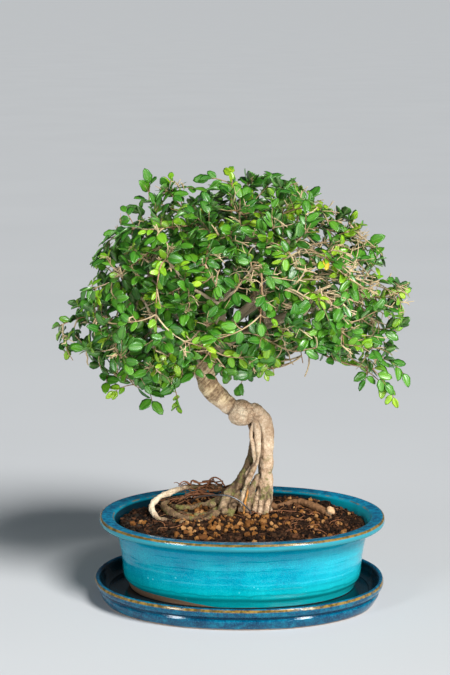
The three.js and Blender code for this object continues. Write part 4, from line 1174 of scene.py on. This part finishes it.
def crown_share(points):
    """How far out places lie, from 0 at the crown's centre to 1 at its surface. The surface is the outline
    rounded off to the front and back, and nothing passes the outline as the photograph's view sees it."""
    x, y, z = (np.asarray(points, float) - CROWN_CENTRE).T
    z = z - FRONT_LIFT * np.maximum(0, -y)
    in_space = np.hypot(np.hypot(x, z) / reach_at(x, z), y / CROWN_DEPTH)
    x, z = from_front(points)
    x, z = x - CROWN_CENTRE[0], z - CROWN_CENTRE[2]
    return np.maximum(in_space, np.hypot(x, z) / reach_at(x, z))


def crown_surface(out, size):
    """The place on the crown's surface in a direction from its centre, as in the part's source."""
    reach = reach_at(out[0], out[2])
    length = size / math.hypot(math.hypot(out[0], out[2]) / reach, out[1] / CROWN_DEPTH)
    place = out * length + CROWN_CENTRE
    place[2] += FRONT_LIFT * max(0.0, -place[1])
    return place


def way_out(level, turn):
    """The unit direction at a level, from 1 for straight up to -1 for straight down, and a turn about Z."""
    flat = math.sqrt(1 - level**2)
    return np.array([flat * math.cos(turn), flat * math.sin(turn), level])


def missing_share(x, z):
    """The share of twigs and leaves that the crown lacks at a place that is seen from the front."""
    return max(hump(x, z, *window) * share for *window, share in WINDOWS)


def spray_tips(numbers):
    """Where the shoots of the sprays end and begin, by the same rule and the same row of numbers as in the
    part's source: tips spread by the golden angle with a set space round each, nearest the fork first."""
    fork = np.array(FORK, float)
    sprays = []
    for i in range(SPRAY_TRIALS):
        if len(sprays) == SPRAYS:
            break
        leads = i < len(LEADERS)
        out = unit(LEADERS[i]) if leads else way_out(1 - i / SPRAY_TRIALS * SPRAY_SPAN, i * GOLDEN_ANGLE)
        size = 1.0 if leads else 0.95 + 0.08 * next(numbers)
        outward = unit(np.array([out[0], out[1], max(0.0, out[2])]) / CROWN_HALF)
        tip = crown_surface(out, size) - outward * SPRAY_MARGIN
        tip[2] += SPRAY_MARGIN if out[2] < 0 else 0.0
        if any(np.linalg.norm(spray["tip"] - tip) < SPRAY_SPACE for spray in sprays):
            continue
        downhill = np.array([out[0] / 2, out[1] / 2, -1.0])
        downhill = unit(downhill - outward * np.dot(outward, downhill))
        rise = SPRAY_RISE * max(0.0, out[2])
        inward = 0.4 + rise + 0.2 * next(numbers)
        base = tip - downhill * SPRAY_LENGTH * (0.4 + SPRAY_HANG - rise) - outward * SPRAY_LENGTH * inward
        if leads:
            base = tip - out * SPRAY_LENGTH * 0.9
        if np.linalg.norm(base - fork) > FORK_SPACE:
            sprays.append({"tip": tip, "base": base, "outward": outward})
    return sorted(sprays, key=lambda spray: np.linalg.norm(spray["base"] - fork))


def branch_out(spray, nodes, taken, numbers):
    """Gives a spray its shoot and a side branch from wood that is closer to the fork. The shoot's foot moves
    at random, further at each try, until both keep clear of what is there."""
    fork = np.array(FORK, float)
    for turn in range(BRANCH_TURNS):
        shift = np.array([next(numbers) - 0.5, next(numbers) - 0.5, next(numbers) - 0.5]) * 2 * turn
        base = spray["base"] + shift
        reach = np.linalg.norm(base - fork)
        closer = nodes[np.linalg.norm(nodes - fork, axis=1) < reach - 8]
        start = closer[np.argmin(np.linalg.norm(closer - base, axis=1))]
        length = np.linalg.norm(start - base)
        bend = np.array([next(numbers) - 0.5, next(numbers) - 0.5, next(numbers) - 0.2])
        middle = (start + base) / 2 + bend * length * 0.35
        heading = unit(base - middle)
        shoot = base + heading * SHOOT_GAP
        spray["branch"] = (start, middle, base)
        spray["axis"] = (shoot, shoot + heading * SPRAY_LENGTH * 0.4, spray["tip"])
        eighths = np.arange(1, 9) / 8
        path = np.vstack([bow(*spray["branch"], eighths), bow(*spray["axis"], eighths)])
        path = path[np.linalg.norm(path - start, axis=1) > BRANCH_SPACE * 1.5]
        if (np.linalg.norm(path[:, None] - taken[None], axis=2) >= BRANCH_SPACE).all():
            break


def spray_places():
    """The sprays with their shoots and side branches. Each branch then carries others and takes up space."""
    numbers = lehmer(SPRAY_SEED)
    limbs = [np.asarray(points, float)[:, :3] for points in LIMBS.values()]
    nodes = np.vstack([through(places, LIMB_SAMPLES + 1)[1:] for places in limbs])
    taken = np.vstack([through(places, 3 * LIMB_SAMPLES + 1)[1:] for places in limbs])
    sprays = spray_tips(numbers)
    tenths, sixths = np.arange(1, 11) / 10, np.arange(1, 7) / 6
    for spray in sprays:
        branch_out(spray, nodes, taken, numbers)
        nodes = np.vstack([nodes, bow(*spray["branch"], [0.4, 0.65])])
        taken = np.vstack([taken, bow(*spray["branch"], tenths), bow(*spray["axis"], sixths)])
    return sprays


def leaf_shape():
    """One leaf of unit length along X: a pointed oval with a wavy edge, folded up along its midrib, bowed
    down lengthwise, and closed underneath by a shallower keel that shares its edge. Its points are the rows
    between stalk and tip, the keel, the stalk end and the tip."""
    t = np.linspace(0, 1, LEAF_ROWS)[1:-1, None]
    s = np.linspace(-1, 1, LEAF_COLUMNS)[None]
    rows = len(t)
    half = LEAF_WIDTH / 2 * np.sin(math.pi * t**0.88) ** 0.72
    waves = 1 + LEAF_WAVES * (-1.0) ** np.arange(rows)[:, None] * (np.abs(s) == 1)
    x = t + 0.03 * (np.abs(s) == 1) * np.sin(3 * math.pi * t)
    y = s * half * waves
    z = 0.3 * np.abs(y) - LEAF_DROOP * t**2
    top = np.stack([x, y, z], axis=-1)
    keel = top[:, LEAF_COLUMNS // 2] - [0, 0, 0.02]
    points = np.vstack([top.reshape(-1, 3), keel, [0, 0, 0], [1, 0, -LEAF_DROOP]])
    number = np.arange(rows * LEAF_COLUMNS).reshape(rows, LEAF_COLUMNS)
    under = np.stack([number[:, -1], number.size + np.arange(rows), number[:, 0]], axis=1)
    quads, triangles = [], []
    for sheet in (number, under):
        corners = (sheet[:-1, :-1], sheet[1:, :-1], sheet[1:, 1:], sheet[:-1, 1:])
        quads.append(np.stack(corners, axis=-1).reshape(-1, 4))
        stalk, tip = np.full((2, sheet.shape[1] - 1), [[len(points) - 2], [len(points) - 1]])
        triangles.append(np.stack([sheet[0, :-1], sheet[0, 1:], stalk], axis=-1))
        triangles.append(np.stack([sheet[-1, 1:], sheet[-1, :-1], tip], axis=-1))
    layers = {
        "across": np.concatenate([np.tile(s[0], rows), np.zeros(rows + 2)]),
        "lengthwise": np.concatenate([np.repeat(t[:, 0], LEAF_COLUMNS), t[:, 0], [0, 1]]),
        "under": np.concatenate([np.zeros(number.size), np.ones(rows), [0, 0]]),
    }
    return points, np.vstack(quads), np.vstack(triangles), layers


LEAF = leaf_shape()


class Foliage:
    """Leaves of one spray, gathered as rows of base, heading, face, length and tint."""

    def __init__(self):
        self.rows = []

    def grow(self, base, heading, face, length, tint):
        """Adds one leaf."""
        self.rows.append(np.concatenate([base, heading, face, [length, tint]]))

    def build(self, name):
        """All the leaves as one mesh: the leaf shape set out along each heading with its face upwards."""
        rows = np.array(self.rows)
        count = len(rows)
        base, heading, face = rows[:, :3], unit(rows[:, 3:6]), rows[:, 6:9]
        length, tint = rows[:, 9:10], rows[:, 10]
        up = unit(face - heading * (face * heading).sum(1, keepdims=True))
        side = np.cross(up, heading)
        points, quads, triangles, layers = LEAF
        rng = np.random.default_rng(count)
        wide = rng.uniform(0.86, 1.14, (count, 1, 1))
        fold = rng.uniform(0.2, 1.6, (count, 1, 1))
        shape = (
            heading[:, None] * points[None, :, 0:1]
            + side[:, None] * points[None, :, 1:2] * wide
            + up[:, None] * points[None, :, 2:3] * fold
        ) * length[:, None]
        layers = {layer: np.tile(values, count) for layer, values in layers.items()}
        mesh = Mesh()
        mesh.add(shape + base[:, None], copies(quads, triangles, len(points), count),
                 tint=np.repeat(tint, len(points)), **layers)
        return mesh.build(name)


def leaf_tint(rng, young, place):
    """0 is dark green, 1 bright yellow-green, and past that a yellowing leaf."""
    if rng.uniform() < YELLOW_SHARE:
        return 1.2
    if young:
        return float(np.clip(rng.normal(0.62 + 0.25 * place, 0.12), 0.3, 1.0))
    return float(np.clip(rng.normal(0.2, 0.13) + 0.1 * place, 0.0, 0.7))


def dress_twig(rng, leaves, curve, first, young, face, free=False):
    """Leaves at alternate sides of a twig from its share `first` on, and one at its tip. Unless the twig is
    free to stand out, a leaf whose tip would pass the crown's outline or hang under its lower edge is left
    out. So are most of those in the thin places, and any that would leave the part's box."""
    length = np.linalg.norm(curve[2] - curve[0])
    count = max(2, int(round(length * (1 - first) / LEAF_SPACING)))
    hand = rng.choice([-1, 1])
    for k in range(count + 1):
        place = 1.0 if k == count else first + (1 - first) * (k + rng.uniform(0.25, 0.75)) / count
        normal = unit(face + rng.normal(0, 0.4, 3))
        angle = rng.normal(0, 0.3) if k == count else hand * (1 if k % 2 else -1) * rng.uniform(0.6, 1.15)
        heading = unit(turned(heading_at(curve, place), normal, angle) + rng.normal(0, 0.14, 3))
        size = rng.uniform(*LEAF_LENGTH) * (1.05 - 0.3 * place * young)
        point = bow(*curve, place)
        tip = point + heading * size
        seated = free or above_edge(tip) > 5 - 15 * rng.uniform() ** 3
        hollow = tip[1] < LEAF_WINDOW_BACK and rng.uniform() < missing_share(*from_front(tip))
        inside = free or crown_share(tip) < OUTLINE_MARGIN
        if seated and inside and not hollow and (abs(tip - BOX_MIDDLE) < BOX_HALF - ROOM).all():
            leaves.grow(point, heading, normal, size, leaf_tint(rng, young, place))


class Crown:
    """The crown as it grows: twigs, leaves by spray, and the places from which more twigs can spring."""

    def __init__(self, sprays):
        self.rng = np.random.default_rng(CROWN_SEED)
        self.twigs = Mesh()
        self.leaves = [Foliage() for _ in sprays]
        self.starts, self.headings, self.owners, self.shares = [], [], [], []
        for owner, spray in enumerate(sprays):
            self.twig(spray["axis"], (1.2, 0.45), 7, 12, (0.5, 0.1))
            face = unit(spray["outward"] + [0, 0, 0.4])
            young = self.rng.uniform() < 2 * YOUNG_SHARE
            dress_twig(self.rng, self.leaves[owner], spray["axis"], 0.12, young, face)
            self.offer(spray["branch"], (0.5, 0.65, 0.8, 0.95), owner)
            self.offer(spray["axis"], np.linspace(0.06, 0.94, 10), owner)
        self.settle()

    def twig(self, curve, radii, sides, steps, ages):
        """A tube along a curve, with its radius and its age at both ends."""
        t = np.linspace(0, 1, steps)
        age = np.interp(t, [0, 1], ages)
        add_tube(self.twigs, bow(*curve, t), np.interp(t, [0, 1], radii), sides, age=age)

    def offer(self, curve, shares, owner):
        """Notes places along a curve from which twigs of this spray can spring."""
        for share in shares:
            self.starts.append(bow(*curve, share))
            self.headings.append(heading_at(curve, share))
            self.owners.append(owner)
            self.shares.append(crown_share(self.starts[-1]))

    def settle(self):
        """Takes stock of the places offered so far."""
        self.places, self.depths = np.array(self.starts), np.array(self.shares)

    def spring(self, tip, shortest, longest):
        """A twig's curve to this tip from the best place that lies further in, with its spray, or None."""
        share = crown_share(tip)
        gap = np.linalg.norm(self.places - tip, axis=1)
        score = gap + 90 * np.maximum(0, self.depths - share + 0.02)
        best = int(np.argmin(np.where(gap < shortest, np.inf, score)))
        way = unit(tip - self.starts[best])
        if gap[best] > longest or share > 0.99 or np.dot(way, self.headings[best]) < -0.3:
            return None
        bend = (0.45 * way + 0.2 * self.headings[best]) * gap[best] + self.rng.normal(0, 0.06 * gap[best], 3)
        curve = (self.starts[best], self.starts[best] + bend, tip - [0, 0, 0.06 * gap[best]])
        return curve, self.owners[best]

    def grow_round(self, count, depths, lengths, radius, sides, steps, turned, foot_age, first_leaf):
        """Twigs to tips that are spread through the outer crown by the golden angle, some of them bare."""
        rng, grown = self.rng, []
        for k in range(count):
            out = way_out(1 - (k + rng.uniform()) / count * TWIG_SPAN, k * GOLDEN_ANGLE + turned)
            depth = depths[1] - (depths[1] - depths[0]) * rng.uniform() ** 1.6
            tip = CROWN_CENTRE + (crown_surface(out, 1.0) - CROWN_CENTRE) * depth + rng.normal(0, 3, 3)
            hollow = tip[1] < TWIG_WINDOW_BACK and rng.uniform() < missing_share(tip[0], tip[2])
            sprung = None if hollow or above_edge(tip) < 1 else self.spring(tip, *lengths)
            if not sprung:
                continue
            curve, owner = sprung
            bare_here = hump(tip[0], tip[2], *BARE_PATCH) * (0.5 if tip[1] < 40 else 0.2)
            bare = rng.uniform() < bare_here + BARE_SHARE
            young = rng.uniform() < YOUNG_SHARE * (0.4 + 1.2 * crown_share(tip) ** 2)
            ages = (0.9, 0.9) if bare else (foot_age, 0.05 if young else 0.35)
            self.twig(curve, radius * TWIG_TAPER, sides, steps, ages)
            grown.append((curve, owner))
            if not bare:
                face = unit(0.8 * unit((tip - CROWN_CENTRE) / CROWN_HALF) + [0, 0, 0.45])
                dress_twig(rng, self.leaves[owner], curve, first_leaf, young, face)
        for curve, owner in grown:
            self.offer(curve, (0.3, 0.5, 0.7, 0.9), owner)
        self.settle()

    def grow_bare(self, count, chances, sweep, lengths):
        """Nearly straight leafless twigs with short spurs, sweeping outwards and the given way, from places
        picked by these chances."""
        rng = self.rng
        for first in rng.choice(len(chances), count, p=chances / chances.sum()):
            start = self.places[first]
            way = unit(unit(start - CROWN_CENTRE) * 0.5 + sweep + rng.normal(0, 0.36, 3))
            length = rng.uniform(*lengths)
            while crown_share(start + way * length) > 1.0 and length > 6:
                length *= 0.8
            end = start + way * length
            if above_edge(end) < 6:
                continue
            curve = (start, (start + end) / 2 + rng.normal(0, 0.09 * length, 3) + [0, 0, 0.08 * length], end)
            radius, age = rng.uniform(0.5, 1.1), rng.uniform(0.6, 1.0)
            self.twig(curve, radius * BARE_TAPER, 5, 6, (age, age))
            for share in rng.uniform(0.2, 0.95, SPURS):
                foot = bow(*curve, share)
                spur = foot + unit(way + rng.normal(0, 0.8, 3)) * rng.uniform(3, 10)
                add_tube(self.twigs, np.array([foot, spur]), radius * np.array([0.6, 0.36]), 4, age=age)

    def grow_sprigs(self):
        """The shoots that stand out from the outline, each from a near place that isn't closer than the
        shortest sprig, and the bare stubs."""
        for x, y, z, young in SPRIGS:
            tip = np.array([x, y, z], float)
            gap = np.linalg.norm(self.places - tip, axis=1)
            score = gap + 60 * np.maximum(0, self.depths - 0.9)
            best = int(np.argmin(np.where(gap < SHORTEST_SPRIG, np.inf, score)))
            start = self.places[best]
            curve = (start, (start + tip) / 2 + [0, 0, 0.12 * gap[best]], tip)
            self.twig(curve, 0.6 * TWIG_TAPER, 5, 6, (0.4, 0.1))
            face = unit([0, -0.8, 0.6])
            dress_twig(self.rng, self.leaves[self.owners[best]], curve, 0.35, young, face, free=True)
        t = np.linspace(0, 1, 6)
        for start, end in STUBS:
            path = np.array(start) + (np.array(end) - start) * t[:, None] + self.rng.normal(0, 0.6, (6, 3))
            add_tube(self.twigs, path, 1.1 - 0.5 * t, 6, age=0.8)


def make_crown(sprays, thin_bark):
    """Each spray's shoot, then rounds of twigs, each grown from the nearest shoot, branch or earlier twig
    that lies further in, and their leaves. Bare twigs grow in the bare patch and all over the front."""
    crown = Crown(sprays)
    for twig_round in TWIG_ROUNDS:
        crown.grow_round(**twig_round)
    x, y, z = crown.places.T
    front = y < BARE_BACK
    crown.grow_bare(BARE_TWIGS, front * hump(x, z, *BARE_PATCH), BARE_SWEEP, BARE_LENGTH)
    crown.grow_bare(STRAY_TWIGS, front * (crown.depths > STRAY_DEPTH), STRAY_SWEEP, STRAY_LENGTH)
    crown.grow_sprigs()
    leaf = leaf_green()
    for number, foliage in enumerate(crown.leaves, 1):
        name = f"leaves_{number:02d}"
        piece(name, foliage.build(name), leaf, [f"spray_{number:02d}"])
    piece("twigs", crown.twigs.build("twigs"), thin_bark)


# Drain screens, floor, light and camera


def dress_screens():
    """The two drain screens keep the part's mesh and get a finish."""
    plastic = screen_plastic()
    for name in ("drain_screen_left", "drain_screen_right"):
        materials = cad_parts[name].data.materials
        materials.clear()
        materials.append(plastic)


def make_floor():
    """A pale floor that runs on to the horizon."""
    corners = np.array([(-1, -1, 0), (1, -1, 0), (1, 1, 0), (-1, 1, 0)]) * FLOOR_REACH + [0, 0, GROUND]
    mesh = Mesh()
    mesh.add(corners, [[[0, 1, 2, 3]]])
    floor = new_object("studio_floor", mesh.build("studio_floor"))
    floor.data.materials.append(pale_floor())


def aim(obj, way):
    """Turns a light so that it shines this way."""
    obj.rotation_euler = Vector(way).to_track_quat("-Z", "Y").to_euler()


def make_room():
    """The dim room round the set, and a broad light from the upper right."""
    world = bpy.data.worlds.new("room")
    world.use_nodes = True
    background = world.node_tree.nodes["Background"]
    background.inputs["Color"].default_value = (*ROOM_COLOUR, 1)
    background.inputs["Strength"].default_value = ROOM_LIGHT
    bpy.context.scene.world = world
    lamp = bpy.data.lights.new("broad_light", "SUN")
    lamp.energy, lamp.angle = BROAD_LIGHT, BROAD_ANGLE
    aim(new_object("broad_light", lamp), BROAD_WAY)


def make_softbox(name, place, size, power, colour):
    """A soft rectangular light that faces the object."""
    lamp = bpy.data.lights.new(name, "AREA")
    lamp.shape = "RECTANGLE"
    lamp.size, lamp.size_y = size[0] * MM, size[1] * MM
    lamp.energy, lamp.color = power, colour
    obj = new_object(name, lamp)
    obj.location = [value * MM for value in place]
    aim(obj, [to - at for to, at in zip(LIGHT_AIM, place)])


def make_camera():
    """The photograph's view."""
    lens = bpy.data.cameras.new("view")
    lens.sensor_width = SENSOR_WIDTH
    lens.lens = FOCAL_LENGTH
    camera = new_object("view", lens)
    x, y, z = VIEW_POINT
    back, up = VIEW_DISTANCE * math.cos(VIEW_PITCH), VIEW_DISTANCE * math.sin(VIEW_PITCH)
    camera.location = (x * MM, (y - back) * MM, (z + up - GROUND) * MM)
    camera.rotation_euler = (math.pi / 2 - VIEW_PITCH, 0, 0)
    bpy.context.scene.camera = camera


make_camera()
make_floor()
for name, softbox in SOFTBOXES.items():
    make_softbox(name, *softbox)
make_room()
bpy.context.scene.view_settings.view_transform = "Standard"

thin_bark = twig_bark()
make_pot()
make_saucer()
make_soil()
make_grains()
make_trunk()
sprays = spray_places()
make_limbs(sprays)
make_wire()
make_fine_roots(thin_bark)
make_crown(sprays, thin_bark)
dress_screens()
